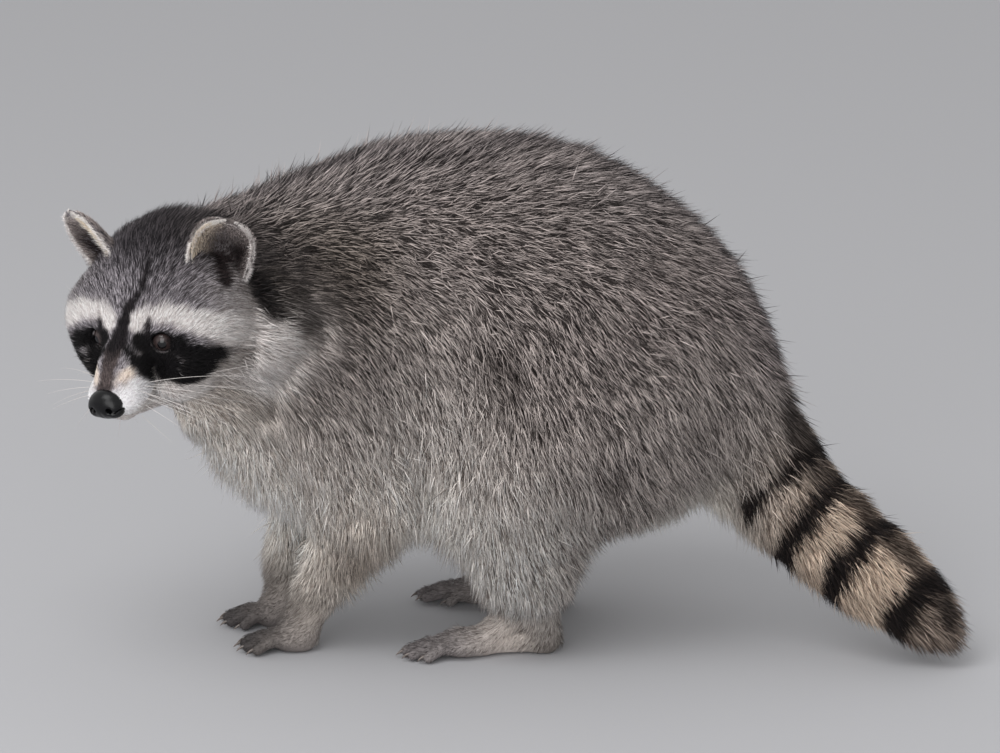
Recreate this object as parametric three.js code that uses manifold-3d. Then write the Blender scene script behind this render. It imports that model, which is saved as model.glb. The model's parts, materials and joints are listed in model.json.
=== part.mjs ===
// A life-size standing raccoon, in full coat: back arched, head turned to its left, ringed tail hanging.
//
// Millimetres, +Z up, the floor at z = 0. The animal faces -X and its left side faces -Y. Its origin is on the
// floor, under the middle of its box.
//
// The body is one soft field, a smooth union of named masses, which is meshed once for each region and then
// parted with thin cuts. Digits, claws, ears, eyes and the nose pad are shaped on their own.
import * as THREE from "three";
import { mergeVertices } from "three/addons/utils/BufferGeometryUtils.js";
import Module from "manifold-3d";

const wasm = await Module();
wasm.setup();

// ---------------------------------------------------------------------------------------------- driving sizes
const GAP = 0.4; // the cut between two neighbouring pieces

// The head is turned in degrees from facing -X and level. What it carries is placed forward, left and up of its
// middle, with left for one of a pair.
const SKULL = { at: [-214, -76, 248.5], yaw: 60, pitch: 20, roll: 5 };
const EYE = { at: [44.5, 22.5, 3.5], radius: 8.2, opening: [12, 9.4, 8.4] };
const NOSE = { at: [91, 0, -17.5], radii: [9, 12, 10.2] };
const EAR = { at: [3, 42, 30], height: 55, width: 41, depth: 16, wall: 3.2, splay: 37, turn: 34, lean: -7 };

// A foot's length from heel to the roots of its toes, its half widths at the heel and the ball, and its height.
const HIND_FOOT = { length: 70, heel: 12, ball: 15.5, instep: 24 };
const FORE_FOOT = { length: 24, heel: 12, ball: 15, instep: 19 };
const HIND_DIGITS = { lengths: [20, 25, 27, 26, 22], radius: 4.9, rise: 3.6, fan: 0.07 };
const FORE_DIGITS = { lengths: [17, 22, 24, 23, 19], radius: 4.4, rise: 4.4, fan: 0.12 };
const CLAW = { length: 8.5, radius: 1.6, droop: 0.75 };

// Cell sizes of the meshes: smaller cells where the form is finer.
const CELL = { trunk: 36, thigh: 30, limb: 19, tail: 22, head: 14.6, muzzle: 9.6 };

// ------------------------------------------------------------------------------------------------ small tools
const vec = ([x, y, z]) => new THREE.Vector3(x, y, z);
const rad = THREE.MathUtils.degToRad;
const lerp = THREE.MathUtils.lerp;

/** The matrix of a frame at a point, turned by yaw about Z, then pitch about Y, then roll about X. */
function frameAt(at, yaw = 0, pitch = 0, roll = 0) {
  const turn = new THREE.Euler(rad(roll), rad(pitch), rad(yaw), "ZYX");
  return new THREE.Matrix4().makeRotationFromEuler(turn).setPosition(vec(at));
}

/** Joins two distances, rounding the crease between them over the width k. */
function blend(a, b, k) {
  const h = Math.max(k - Math.abs(a - b), 0) / k;
  return Math.min(a, b) - (h * h * k) / 4;
}

/** An ellipsoid mass, tilted by pitch degrees about Y (nose up is negative) and yaw about Z. */
function lump(at, radii, { k = 30, pitch = 0, yaw = 0 } = {}) {
  const inverse = frameAt(at, yaw, pitch).invert();
  const [a, b, c] = radii;
  const p = new THREE.Vector3();
  const distance = (x, y, z) => {
    p.set(x, y, z).applyMatrix4(inverse);
    const near = Math.hypot(p.x / a, p.y / b, p.z / c);
    const steep = Math.hypot(p.x / (a * a), p.y / (b * b), p.z / (c * c));
    return steep < 1e-9 ? -Math.min(a, b, c) : (near * (near - 1)) / steep;
  };
  return { distance, k };
}

/** A limb mass from one point to another, with a radius at each. */
function limb(from, to, fromRadius, toRadius, { k = 22 } = {}) {
  const [ax, ay, az] = from;
  const [bx, by, bz] = [to[0] - ax, to[1] - ay, to[2] - az];
  const length2 = bx * bx + by * by + bz * bz;
  const distance = (x, y, z) => {
    const [px, py, pz] = [x - ax, y - ay, z - az];
    const t = Math.min(Math.max((px * bx + py * by + pz * bz) / length2, 0), 1);
    return Math.hypot(px - bx * t, py - by * t, pz - bz * t) - lerp(fromRadius, toRadius, t);
  };
  return { distance, k };
}

/** A chain of limb masses through points, each [x, y, z, radius]. */
function chain(points, options) {
  return points.slice(1).map((p, i) => limb(points[i].slice(0, 3), p.slice(0, 3), points[i][3], p[3], options));
}

const union = (masses) => (x, y, z) =>
  masses.reduce((sum, m) => (sum === null ? m.distance(x, y, z) : blend(sum, m.distance(x, y, z), m.k)), null);

// -------------------------------------------------------------------------------------- from field to solid
/** Meshes a field's zero surface inside a box by surface nets, with each vertex slid onto the surface. */
function surfaceOf(field, [low, high], cell) {
  const n = low.map((l, i) => Math.ceil((high[i] - l) / cell) + 1);
  const at = (i, j, k) => (k * n[1] + j) * n[0] + i;
  const value = new Float64Array(n[0] * n[1] * n[2]);
  for (let k = 0; k < n[2]; k++)
    for (let j = 0; j < n[1]; j++)
      for (let i = 0; i < n[0]; i++) {
        const edge = [i, j, k].some((g, axis) => g === 0 || g === n[axis] - 1);
        const d = field(low[0] + i * cell, low[1] + j * cell, low[2] + k * cell);
        value[at(i, j, k)] = edge ? Math.max(d, 0.5) : d;
      }

  openPinches(value, n, at);

  const corners = [0, 1, 2, 3, 4, 5, 6, 7].map((c) => [c & 1, (c >> 1) & 1, c >> 2]);
  const edges = corners.flatMap((c, a) => [1, 2, 4].filter((bit) => !(a & bit)).map((bit) => [a, a | bit]));
  const vertices = [];
  const vertexOf = new Map();
  for (let k = 0; k < n[2] - 1; k++)
    for (let j = 0; j < n[1] - 1; j++)
      for (let i = 0; i < n[0] - 1; i++) {
        const v = corners.map(([a, b, c]) => value[at(i + a, j + b, k + c)]);
        const crossings = edges.filter(([a, b]) => v[a] < 0 !== v[b] < 0);
        if (!crossings.length) continue;
        const sum = [0, 0, 0];
        for (const [a, b] of crossings) {
          const t = v[a] / (v[a] - v[b]);
          for (let axis = 0; axis < 3; axis++) sum[axis] += lerp(corners[a][axis], corners[b][axis], t);
        }
        vertexOf.set(at(i, j, k), vertices.length / 3);
        const p = [i, j, k].map((g, axis) => low[axis] + (g + sum[axis] / crossings.length) * cell);
        vertices.push(...settle(field, p, cell));
      }

  const faces = [];
  const quad = (cells, flip) => {
    const [a, b, c, d] = cells.map((cellAt) => vertexOf.get(cellAt));
    faces.push(...(flip ? [a, c, b, a, d, c] : [a, b, c, a, c, d]));
  };
  for (let k = 0; k < n[2] - 1; k++)
    for (let j = 0; j < n[1] - 1; j++)
      for (let i = 0; i < n[0] - 1; i++) {
        const inside = value[at(i, j, k)] < 0;
        if (inside !== value[at(i + 1, j, k)] < 0)
          quad([at(i, j - 1, k - 1), at(i, j, k - 1), at(i, j, k), at(i, j - 1, k)], !inside);
        if (inside !== value[at(i, j + 1, k)] < 0)
          quad([at(i - 1, j, k - 1), at(i - 1, j, k), at(i, j, k), at(i, j, k - 1)], !inside);
        if (inside !== value[at(i, j, k + 1)] < 0)
          quad([at(i - 1, j - 1, k), at(i, j - 1, k), at(i, j, k), at(i - 1, j, k)], !inside);
      }
  return { vertices: new Float32Array(vertices), faces: new Uint32Array(faces) };
}

/** Flips the faintest corner of each grid square whose diagonals disagree, so that no edge has four faces. */
function openPinches(value, n, at) {
  const steps = [[1, 0, 0], [0, 1, 0], [0, 0, 1]];
  let found = true;
  while (found) {
    found = false;
    for (let k = 0; k < n[2]; k++)
      for (let j = 0; j < n[1]; j++)
        for (let i = 0; i < n[0]; i++)
          for (let axis = 0; axis < 3; axis++) {
            const [u, v] = [steps[axis], steps[(axis + 1) % 3]];
            if ([i, j, k].some((g, a) => g + u[a] + v[a] >= n[a])) continue;
            const square = [
              at(i, j, k),
              at(i + u[0], j + u[1], k + u[2]),
              at(i + u[0] + v[0], j + u[1] + v[1], k + u[2] + v[2]),
              at(i + v[0], j + v[1], k + v[2]),
            ];
            const [a, b, c, d] = square.map((q) => value[q] < 0);
            if (a !== c || b !== d || a === b) continue;
            const faintest = square.reduce((p, q) => (Math.abs(value[p]) < Math.abs(value[q]) ? p : q));
            value[faintest] = value[faintest] < 0 ? 0.5 : -0.5;
            found = true;
          }
  }
}

/** Slides a point along the field's slope towards its surface, by at most a third of a cell. */
function settle(field, [x, y, z], cell) {
  const step = cell * 0.05;
  const d = field(x, y, z);
  const slope = [
    field(x + step, y, z) - field(x - step, y, z),
    field(x, y + step, z) - field(x, y - step, z),
    field(x, y, z + step) - field(x, y, z - step),
  ].map((s) => s / (2 * step));
  const steep = slope[0] ** 2 + slope[1] ** 2 + slope[2] ** 2;
  const most = cell / 3;
  const move = THREE.MathUtils.clamp(d / Math.max(steep, 0.25), -most, most);
  return [x - move * slope[0], y - move * slope[1], z - move * slope[2]];
}

const solidOfMesh = ({ vertices, faces }) =>
  new wasm.Manifold(new wasm.Mesh({ numProp: 3, vertProperties: vertices, triVerts: faces }));

/** The solid of a three.js geometry, placed by a matrix. */
function solidOf(geometry, matrix = new THREE.Matrix4()) {
  const bare = new THREE.BufferGeometry();
  bare.setAttribute("position", geometry.getAttribute("position").clone());
  if (geometry.index) bare.setIndex(geometry.index);
  const merged = mergeVertices(bare.applyMatrix4(matrix), 1e-3);
  return solidOfMesh({ vertices: merged.attributes.position.array, faces: new Uint32Array(merged.index.array) });
}

const carve = (field, box, cell) => solidOfMesh(surfaceOf(field, box, cell));

/** The part of a solid on the side of a plane that its normal points to, with half the gap left at the plane. */
function keep(solid, point, normal) {
  const n = vec(normal).normalize();
  return solid.trimByPlane(n.toArray(), n.dot(vec(point)) + GAP / 2);
}

const cut = (solid, point, normal) => [
  keep(solid, point, normal),
  keep(solid, point, normal.map((c) => -c)),
];

/** The largest piece of a solid, without the crumbs that a cut can leave. */
const biggest = (solid) => solid.decompose().reduce((a, b) => (a.volume() > b.volume() ? a : b));

// ----------------------------------------------------------------------------------------- the body's masses
const TRUNK = [
  lump([-28, -2, 222], [116, 92, 125], { k: 40, pitch: -3 }), // ribs and barrel
  lump([40, 0, 222], [92, 89, 111], { k: 40 }), // loin
  lump([72, 0, 189], [110, 99, 106], { k: 40 }), // rump
  lump([-100, -10, 246], [82, 66, 83], { k: 36, pitch: 16, yaw: 8 }), // withers
  lump([-124, -18, 220], [74, 70, 80], { k: 36, yaw: 8 }), // shoulders
  lump([-126, -24, 172], [58, 60, 66], { k: 34, yaw: 10 }), // chest
  lump([-40, -4, 156], [80, 70, 58], { k: 34 }), // belly
];

const NECK = chain(
  [
    [-130, -22, 236, 66],
    [-172, -46, 244, 58],
    [-200, -64, 246, 54],
  ],
  { k: 30 },
);
const THROAT = [limb([-150, -36, 152], [-206, -80, 214], 44, 34, { k: 30 })];

const TAIL_LINE = [
  [136, 0, 172, 56],
  [166, -12, 132, 42],
  [190, -23, 105, 36.5],
  [217, -36, 82, 34],
  [242, -48, 63, 32],
  [264, -60, 48, 28.5],
  [282, -71, 36, 21.5],
  [294, -79, 24, 12],
  [299, -83, 14, 5],
];
const TAIL = chain(TAIL_LINE, { k: 12 });

const between = (a, b, t) => a.map((c, i) => lerp(c, b[i], t));

/** The masses of a foreleg, from the shoulder to the palm. */
function foreleg({ shoulder, elbow, wrist, palm }) {
  const middle = between(elbow, wrist, 0.55);
  return [
    lump(between(shoulder, elbow, 0.2), [50, 32, 56], { k: 30, pitch: -30 }),
    limb(shoulder, elbow, 38, 31, { k: 28 }),
    limb(elbow, middle, 31, 20, { k: 20 }),
    limb(middle, wrist, 20, 14, { k: 14 }),
    limb(wrist, palm, 14, 11, { k: 8 }),
  ];
}

/** The masses of a hind leg, from the haunch to the heel. */
function hindleg({ hip, knee, hock, heel }) {
  const middle = between(knee, hock, 0.6);
  return [
    lump(between(hip, knee, 0.28), [74, 42, 82], { k: 34, pitch: 24 }),
    limb(between(hip, knee, 0.4), knee, 54, 42, { k: 26 }),
    limb(knee, middle, 42, 36, { k: 22 }),
    limb(middle, hock, 36, 25, { k: 18 }),
    limb(hock, heel, 20, 13, { k: 12 }),
  ];
}

const FORELEGS = {
  left: { shoulder: [-140, -56, 186], elbow: [-90, -54, 108], wrist: [-131, -44, 26], palm: [-132, -44, 12] },
  right: { shoulder: [-144, 20, 180], elbow: [-122, 24, 104], wrist: [-152, 9, 28], palm: [-152, 8, 12] },
};
const HINDLEGS = {
  left: { hip: [72, -52, 204], knee: [2, -66, 122], hock: [22, -56, 44], heel: [29, -49, 16] },
  right: { hip: [76, 52, 204], knee: [10, 64, 122], hock: [30, 56, 44], heel: [38, 51, 16] },
};

// ------------------------------------------------------------------------------------------- the head's masses
// In the head's own frame: x forward, y to its left, z up, with the origin in the middle of the braincase.
const HEAD_FRAME = frameAt(SKULL.at, 180 + SKULL.yaw, SKULL.pitch, SKULL.roll);
const HEAD_INVERSE = HEAD_FRAME.clone().invert();

const bothSides = (make) => [make(1), make(-1)];
const HEAD = [
  lump([-8, 0, 14], [50, 54, 43], { k: 14 }), // braincase and its crown of fur
  lump([20, 0, 9], [32, 38, 26], { k: 14 }), // forehead
  ...bothSides((s) => lump([16, s * 36, 4], [34, 28, 27], { k: 16, yaw: s * 10 })), // temples
  ...bothSides((s) => lump([-12, s * 50, -26], [30, 32, 32], { k: 18, yaw: s * 20 })), // cheek ruffs
  ...bothSides((s) => lump([32, s * 29, -13], [25, 20, 19], { k: 18, yaw: s * 16 })), // cheeks under the eyes
  ...bothSides((s) => lump([28, s * 22, -28], [30, 20, 19], { k: 14 })), // jowls
  lump([0, 0, -28], [46, 46, 32], { k: 18 }), // throat latch
  ...bothSides((s) => lump([34, s * 23, 14], [14, 16, 10], { k: 12, yaw: s * 24 })), // brows
  limb([38, 0, 8], [67, 0, -7], 17.5, 14.5, { k: 14 }), // bridge of the muzzle
  limb([67, 0, -7], [85, 0, -17], 14.5, 11, { k: 8 }), // end of the muzzle
  ...bothSides((s) => lump([74, s * 8.5, -19], [18, 11.5, 12], { k: 8, yaw: s * 10 })), // whisker pads
  limb([28, 0, -37], [77, 0, -29.5], 18, 8.5, { k: 10 }), // lower jaw
];
const headField = union(HEAD);
const inHead = new THREE.Vector3();
const headInBody = {
  distance: (x, y, z) => {
    inHead.set(x, y, z).applyMatrix4(HEAD_INVERSE);
    return headField(inHead.x, inHead.y, inHead.z);
  },
  k: 22,
};

const bodyField = union([
  ...TRUNK,
  ...NECK,
  ...THROAT,
  ...TAIL,
  ...foreleg(FORELEGS.left),
  ...foreleg(FORELEGS.right),
  ...hindleg(HINDLEGS.left),
  ...hindleg(HINDLEGS.right),
  headInBody,
]);
const inBody = new THREE.Vector3();
/** The body's field read in the head's frame. */
function bodyFromHead(x, y, z) {
  inBody.set(x, y, z).applyMatrix4(HEAD_FRAME);
  return bodyField(inBody.x, inBody.y, inBody.z);
}

// ------------------------------------------------------------------------------------------- shaped by rings
/** A closed solid through rings of points, each ring listed the same way round, with a flat cap at each end. */
function loft(rings) {
  const sides = rings[0].length;
  const vertices = rings.flat(2);
  const faces = [];
  rings.slice(1).forEach((_, r) => {
    for (let s = 0; s < sides; s++) {
      const [a, b] = [r * sides + s, r * sides + ((s + 1) % sides)];
      faces.push(a, b, b + sides, a, b + sides, a + sides);
    }
  });
  const last = (rings.length - 1) * sides;
  for (let s = 1; s < sides - 1; s++) {
    faces.push(0, s + 1, s);
    faces.push(last, last + s, last + s + 1);
  }
  const made = solidOfMesh({ vertices: new Float32Array(vertices), faces: new Uint32Array(faces) });
  if (made.volume() > 0) return made;
  for (let i = 0; i < faces.length; i += 3) [faces[i + 1], faces[i + 2]] = [faces[i + 2], faces[i + 1]];
  return solidOfMesh({ vertices: new Float32Array(vertices), faces: new Uint32Array(faces) });
}

/** A ring across the x axis at a point, half as wide and high as given, turned to lie across a heading. */
function ring([x, y, z], halfWidth, halfHeight, sides, heading = 0, dip = 0) {
  return Array.from({ length: sides }, (_, s) => {
    const angle = ((s + 0.5) * 2 * Math.PI) / sides;
    const [across, up] = [Math.cos(angle) * halfWidth, Math.sin(angle) * halfHeight];
    return [x - across * Math.sin(heading) - up * Math.sin(dip), y + across * Math.cos(heading), z + up * Math.cos(dip)];
  });
}

/** A digit: a low arch from its root over two knuckles to a flat tip, in the foot's frame. */
function digit({ root, length, heading, radius, rise }) {
  const [dx, dy] = [Math.cos(heading), Math.sin(heading)];
  const stations = [
    [-0.1, 0.75, 0.95, 1.0],
    [0.5, 0.95, 1.0, 1.04],
    [1.0, 0.16, 0.76, 0.72],
  ];
  const rings = stations.map(([along, arch, wide, tall]) =>
    ring(
      [root[0] + dx * length * along, root[1] + dy * length * along, radius * 0.86 + rise * arch],
      radius * wide,
      radius * tall,
      6,
      heading,
    ),
  );
  return loft(rings);
}

/** A claw that leaves the digit's tip and curves down towards the floor, in the foot's frame. */
function claw({ root, length, heading, radius, rise }) {
  const [dx, dy] = [Math.cos(heading), Math.sin(heading)];
  const start = [root[0] + dx * (length + GAP), root[1] + dy * (length + GAP), radius * 0.86 + rise * 0.16 + 0.6];
  const stations = [0, 0.5, 1].map((t) => {
    const dip = -CLAW.droop * t * 1.2;
    const reach = CLAW.length * (t - 0.16 * t * t);
    const thick = CLAW.radius * (1 - 0.82 * t);
    const drop = Math.min(CLAW.droop * CLAW.length * 0.62 * t * t, start[2] - thick - 0.3);
    return ring([start[0] + dx * reach, start[1] + dy * reach, start[2] - drop], thick * 0.8, thick, 5, heading, dip);
  });
  return loft(stations);
}

/** A foot's sole and instep from heel to ball, in the foot's frame with its toes towards +X. */
function footBody({ length, heel, ball, instep }) {
  const stations = [
    [-0.16, 0.34, 0.32],
    [-0.04, 0.84, 0.78],
    [0.25, 1.0, 0.95],
    [0.7, 1.0, 0.64],
    [1.02, 0.86, 0.42],
  ];
  const rings = stations.map(([along, wide, tall]) => {
    const halfWidth = lerp(heel, ball, THREE.MathUtils.smoothstep(along, 0, 0.9)) * wide;
    const halfHeight = (instep * tall) / 2;
    return ring([length * along, 0, halfHeight - 1.2], halfWidth, halfHeight, 10);
  });
  return loft(rings);
}

/** The five digits of a foot, fanned about its ball. inner is 1 where the first digit lies to the foot's left. */
function digitsOf(foot) {
  const { inner, digits } = foot;
  const { lengths, radius, rise, fan } = digits;
  const headings = [-1.9, -0.95, -0.05, 0.85, 1.8];
  return lengths.map((length, i) => {
    const across = (i - 2) / 2;
    const back = 0.1 * foot.length * Math.abs(across) ** 2 + (i === 0 ? 0.1 * foot.length : 0);
    return {
      root: [foot.length - back - 3, -inner * across * (foot.ball - radius * 0.9), 0],
      heading: -inner * headings[i] * fan,
      length,
      radius: radius * (i === 0 ? 0.92 : 1),
      rise,
    };
  });
}

/** A shell with an outer and an inner face over a grid of u across and v along, closed at its rims. */
function shell(outer, inner, nu, nv) {
  const vertices = [];
  const faces = [];
  for (const face of [outer, inner])
    for (let j = 0; j <= nv; j++) for (let i = 0; i <= nu; i++) vertices.push(...face((2 * i) / nu - 1, j / nv));
  const id = (side, i, j) => side * (nu + 1) * (nv + 1) + j * (nu + 1) + i;
  const quad = (a, b, c, d) => faces.push(a, b, c, a, c, d);
  for (let j = 0; j < nv; j++)
    for (let i = 0; i < nu; i++) {
      quad(id(0, i, j), id(0, i + 1, j), id(0, i + 1, j + 1), id(0, i, j + 1));
      quad(id(1, i, j), id(1, i, j + 1), id(1, i + 1, j + 1), id(1, i + 1, j));
    }
  for (let i = 0; i < nu; i++) {
    quad(id(0, i, 0), id(1, i, 0), id(1, i + 1, 0), id(0, i + 1, 0));
    quad(id(0, i, nv), id(0, i + 1, nv), id(1, i + 1, nv), id(1, i, nv));
  }
  for (let j = 0; j < nv; j++) {
    quad(id(0, 0, j), id(0, 0, j + 1), id(1, 0, j + 1), id(1, 0, j));
    quad(id(0, nu, j), id(1, nu, j), id(1, nu, j + 1), id(0, nu, j + 1));
  }
  const made = solidOfMesh({ vertices: new Float32Array(vertices), faces: new Uint32Array(faces) });
  if (made.volume() > 0) return made;
  for (let i = 0; i < faces.length; i += 3) [faces[i + 1], faces[i + 2]] = [faces[i + 2], faces[i + 1]];
  return solidOfMesh({ vertices: new Float32Array(vertices), faces: new Uint32Array(faces) });
}

/** A rounded, cupped ear, side 1 for the left one, in the head's frame. */
function ear(side) {
  const half = EAR.width / 2;
  const outline = (v) => half * Math.sqrt(Math.max(1 - Math.abs((v - 0.42) / 0.62) ** 2.6, 0.03));
  const cup = (v) => EAR.depth * (1 - 0.72 * v);
  const face = (inset) => (u, v) => {
    const angle = (u * Math.PI) / 2;
    const tip = 1 - (inset / EAR.height) * v;
    const [width, depth] = [outline(v) - inset * 0.9, cup(v) - inset];
    return [-Math.max(depth, 1.2 - inset * 0.2) * Math.cos(angle) + inset * 0.25, width * Math.sin(angle), EAR.height * (v * tip - 0.18)];
  };
  const place = frameAt(
    [EAR.at[0], side * EAR.at[1], EAR.at[2]],
    side * EAR.turn,
    -EAR.lean,
    -side * EAR.splay,
  );
  return shell(face(0), face(EAR.wall), 8, 6).transform(place.toArray());
}

/** The nose pad: a rounded block, fuller at the front, with a nostril sunk in each side. */
function nosePad() {
  const ball = new THREE.SphereGeometry(1, 12, 8);
  const points = ball.getAttribute("position");
  for (let i = 0; i < points.count; i++) {
    const [x, y, z] = [points.getX(i), points.getY(i), points.getZ(i)];
    const narrow = 1 - 0.22 * Math.max(-z, 0);
    points.setXYZ(i, x * NOSE.radii[0], y * NOSE.radii[1] * narrow, z * NOSE.radii[2]);
  }
  const place = frameAt(NOSE.at, 0, 10);
  const nostrils = bothSides((s) => {
    const hole = new THREE.SphereGeometry(1, 6, 4).scale(4.2, 2.6, 2.4);
    return solidOf(hole, place.clone().multiply(frameAt([8.4, s * 5.8, -1.4], s * 40, 10)));
  });
  return nostrils.reduce((pad, hole) => pad.subtract(hole), solidOf(ball, place));
}

// ------------------------------------------------------------------------------------------------- assembling
const FINISH = {
  greyFur: { color: 0x756c69, roughness: 0.9 },
  paleFur: { color: 0xa39a94, roughness: 0.9 },
  darkFur: { color: 0x2b2727, roughness: 0.9 },
  whiteFur: { color: 0xcfcbc9, roughness: 0.9 },
  tanFur: { color: 0xa4958a, roughness: 0.9 },
  skin: { color: 0x4c4849, roughness: 0.65 },
  horn: { color: 0x3a3431, roughness: 0.45 },
  eye: { color: 0x140f0e, roughness: 0.06 },
  nose: { color: 0x222225, roughness: 0.35 },
};

/** A named mesh of a solid, in the frame of the group that it joins. */
function node(name, solid, finish) {
  const { vertProperties, triVerts, numProp } = biggest(solid).getMesh();
  const positions = new Float32Array((vertProperties.length / numProp) * 3);
  for (let i = 0; i < positions.length / 3; i++)
    positions.set(vertProperties.subarray(i * numProp, i * numProp + 3), i * 3);
  const geometry = new THREE.BufferGeometry();
  geometry.setAttribute("position", new THREE.BufferAttribute(positions, 3));
  geometry.setIndex(new THREE.BufferAttribute(new Uint32Array(triVerts), 1));
  geometry.computeVertexNormals();
  const mesh = new THREE.Mesh(geometry, new THREE.MeshStandardMaterial({ metalness: 0, ...FINISH[finish] }));
  mesh.name = name;
  return mesh;
}

const ball = (radii, matrix, grow = 0, sides = 12) =>
  solidOf(new THREE.SphereGeometry(1, sides, Math.round(sides * 0.6)).scale(...radii.map((r) => r + grow)), matrix);

/** A block between two corners, grown on all sides. */
function block(low, high, grow = 0) {
  const size = high.map((h, i) => h - low[i] + 2 * grow);
  return solidOf(new THREE.BoxGeometry(...size), frameAt(between(low, high, 0.5)));
}

/** A solid without another and without a gap's width around it. */
function clearOf(solid, other) {
  const nudges = [0, 1, 2].flatMap((axis) => [-GAP, GAP].map((d) => [0, 1, 2].map((a) => (a === axis ? d : 0))));
  return nudges.reduce((rest, nudge) => rest.subtract(other.translate(nudge)), solid);
}

// ---- the head
// The planes and balls here are in the head's own frame.
const HEAD_BALL = { at: [14, 0, -8], radii: [60, 100, 84], sides: 16 };
const NECK_FRONT = { at: [42, 0, 0], normal: [1, 0, 0] }; // nothing of the neck lies in front of this
const MUZZLE_CUT = { at: [56, 0, -10], normal: [1, 0, -0.3] };
const MOUTH_CUT = { at: [72, 0, -27.5], normal: [0.1, 0, 1] };
const HEAD_BOX = [
  [-60, -104, -96],
  [104, 104, 80],
];
const headBall = (frame, grow = 0) =>
  ball(HEAD_BALL.radii, frame.clone().multiply(frameAt(HEAD_BALL.at)), grow, HEAD_BALL.sides);
const MUZZLE_BOX = [
  [34, -52, -66],
  [104, 52, 40],
];

/** The frame of an eye, looking forwards and outwards. */
const eyeFrame = (s) => frameAt([EYE.at[0], s * EYE.at[1], EYE.at[2]], s * 26, -4);

function headPieces() {
  const nosePlace = frameAt(NOSE.at, 0, 10);
  const hollows = [ball(NOSE.radii, nosePlace, GAP)];
  for (const s of [1, -1]) {
    hollows.push(ball([EYE.radius, EYE.radius, EYE.radius], eyeFrame(s), GAP));
    hollows.push(ball(EYE.opening, eyeFrame(s).multiply(frameAt([9, 0, 0])))); // the opening of the lids
  }
  const hollowed = (solid) => hollows.reduce((rest, hollow) => rest.subtract(hollow), solid);

  const whole = carve(bodyFromHead, HEAD_BOX, CELL.head).intersect(headBall(new THREE.Matrix4()));
  const back = cut(hollowed(whole), MUZZLE_CUT.at, MUZZLE_CUT.normal)[1];
  const front = keep(hollowed(carve(bodyFromHead, MUZZLE_BOX, CELL.muzzle)), MUZZLE_CUT.at, MUZZLE_CUT.normal);
  const [upper, lower] = cut(front, MOUTH_CUT.at, MOUTH_CUT.normal);

  const eye = (s) => ball([EYE.radius, EYE.radius, EYE.radius], eyeFrame(s));
  return [
    node("head", back, "greyFur"),
    node("muzzle", upper, "whiteFur"),
    node("lower_jaw", lower, "whiteFur"),
    node("nose", nosePad(), "nose"),
    node("eye_left", eye(1), "eye"),
    node("eye_right", eye(-1), "eye"),
    node("ear_left", clearOf(ear(1), whole), "paleFur"),
    node("ear_right", clearOf(ear(-1), whole), "paleFur"),
  ];
}

// ---- the legs
// Each leg is the part of the body inside its cutter: a ball round its upper part and a slab under the belly.
const FORE_SLAB = { x: [-215, -68], top: 104, middle: -18 };
const HIND_SLAB = { x: [-30, 122], top: 108, middle: 2 };
const LEGS = [
  {
    names: ["upper_arm_left", "forearm_left", "forepaw_left"],
    cutter: { at: [-122, -100, 152], radii: [58, 52, 80], pitch: -28 },
    slab: FORE_SLAB,
    side: -1,
    joint: { at: [-100, -54, 102], normal: [0.3, 0, 1] },
    ankle: 31,
    foot: { ...FORE_FOOT, at: [-127, -43], heading: 184, digits: FORE_DIGITS, inner: -1 },
  },
  {
    names: ["upper_arm_right", "forearm_right", "forepaw_right"],
    cutter: { at: [-132, 62, 148], radii: [56, 48, 80], pitch: -16 },
    slab: FORE_SLAB,
    side: 1,
    joint: { at: [-122, 24, 98], normal: [0.2, 0, 1] },
    ankle: 31,
    foot: { ...FORE_FOOT, at: [-141, 7], heading: 180, digits: FORE_DIGITS, inner: 1 },
  },
  {
    names: ["thigh_left", "shin_left", "hind_foot_left"],
    cutter: { at: [40, -112, 168], radii: [84, 62, 104], pitch: 24 },
    slab: HIND_SLAB,
    side: -1,
    joint: { at: [10, -66, 104], normal: [0.12, 0, 1] },
    ankle: 38,
    foot: { ...HIND_FOOT, at: [30, -48], heading: 189.5, digits: HIND_DIGITS, inner: -1 },
  },
  {
    names: ["thigh_right", "shin_right", "hind_foot_right"],
    cutter: { at: [46, 112, 168], radii: [84, 62, 104], pitch: 24 },
    slab: HIND_SLAB,
    side: 1,
    joint: { at: [16, 66, 104], normal: [0.12, 0, 1] },
    ankle: 38,
    foot: { ...HIND_FOOT, at: [39, 50], heading: 175, digits: HIND_DIGITS, inner: 1 },
  },
];
const FLOOR_MARGIN = 6;
const FAR_SIDE = 170;

/** The slab under the belly that two legs share, or one leg's half of it. */
function slabOf({ x, top, middle }, side, grow) {
  const nearMiddle = middle + (side * GAP) / 2;
  const [y0, y1] = side ? [nearMiddle, side * FAR_SIDE].sort((a, b) => a - b) : [-FAR_SIDE, FAR_SIDE];
  return block([x[0], y0, -FLOOR_MARGIN], [x[1], y1, top], grow);
}

/** The solid that parts a leg from the body, grown by the gap when it hollows the trunk. */
function legCutter({ cutter, slab, side }, grow = 0) {
  const upper = ball(cutter.radii, frameAt(cutter.at, 0, cutter.pitch), grow);
  return upper.add(slabOf(slab, grow ? 0 : side, grow));
}

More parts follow.
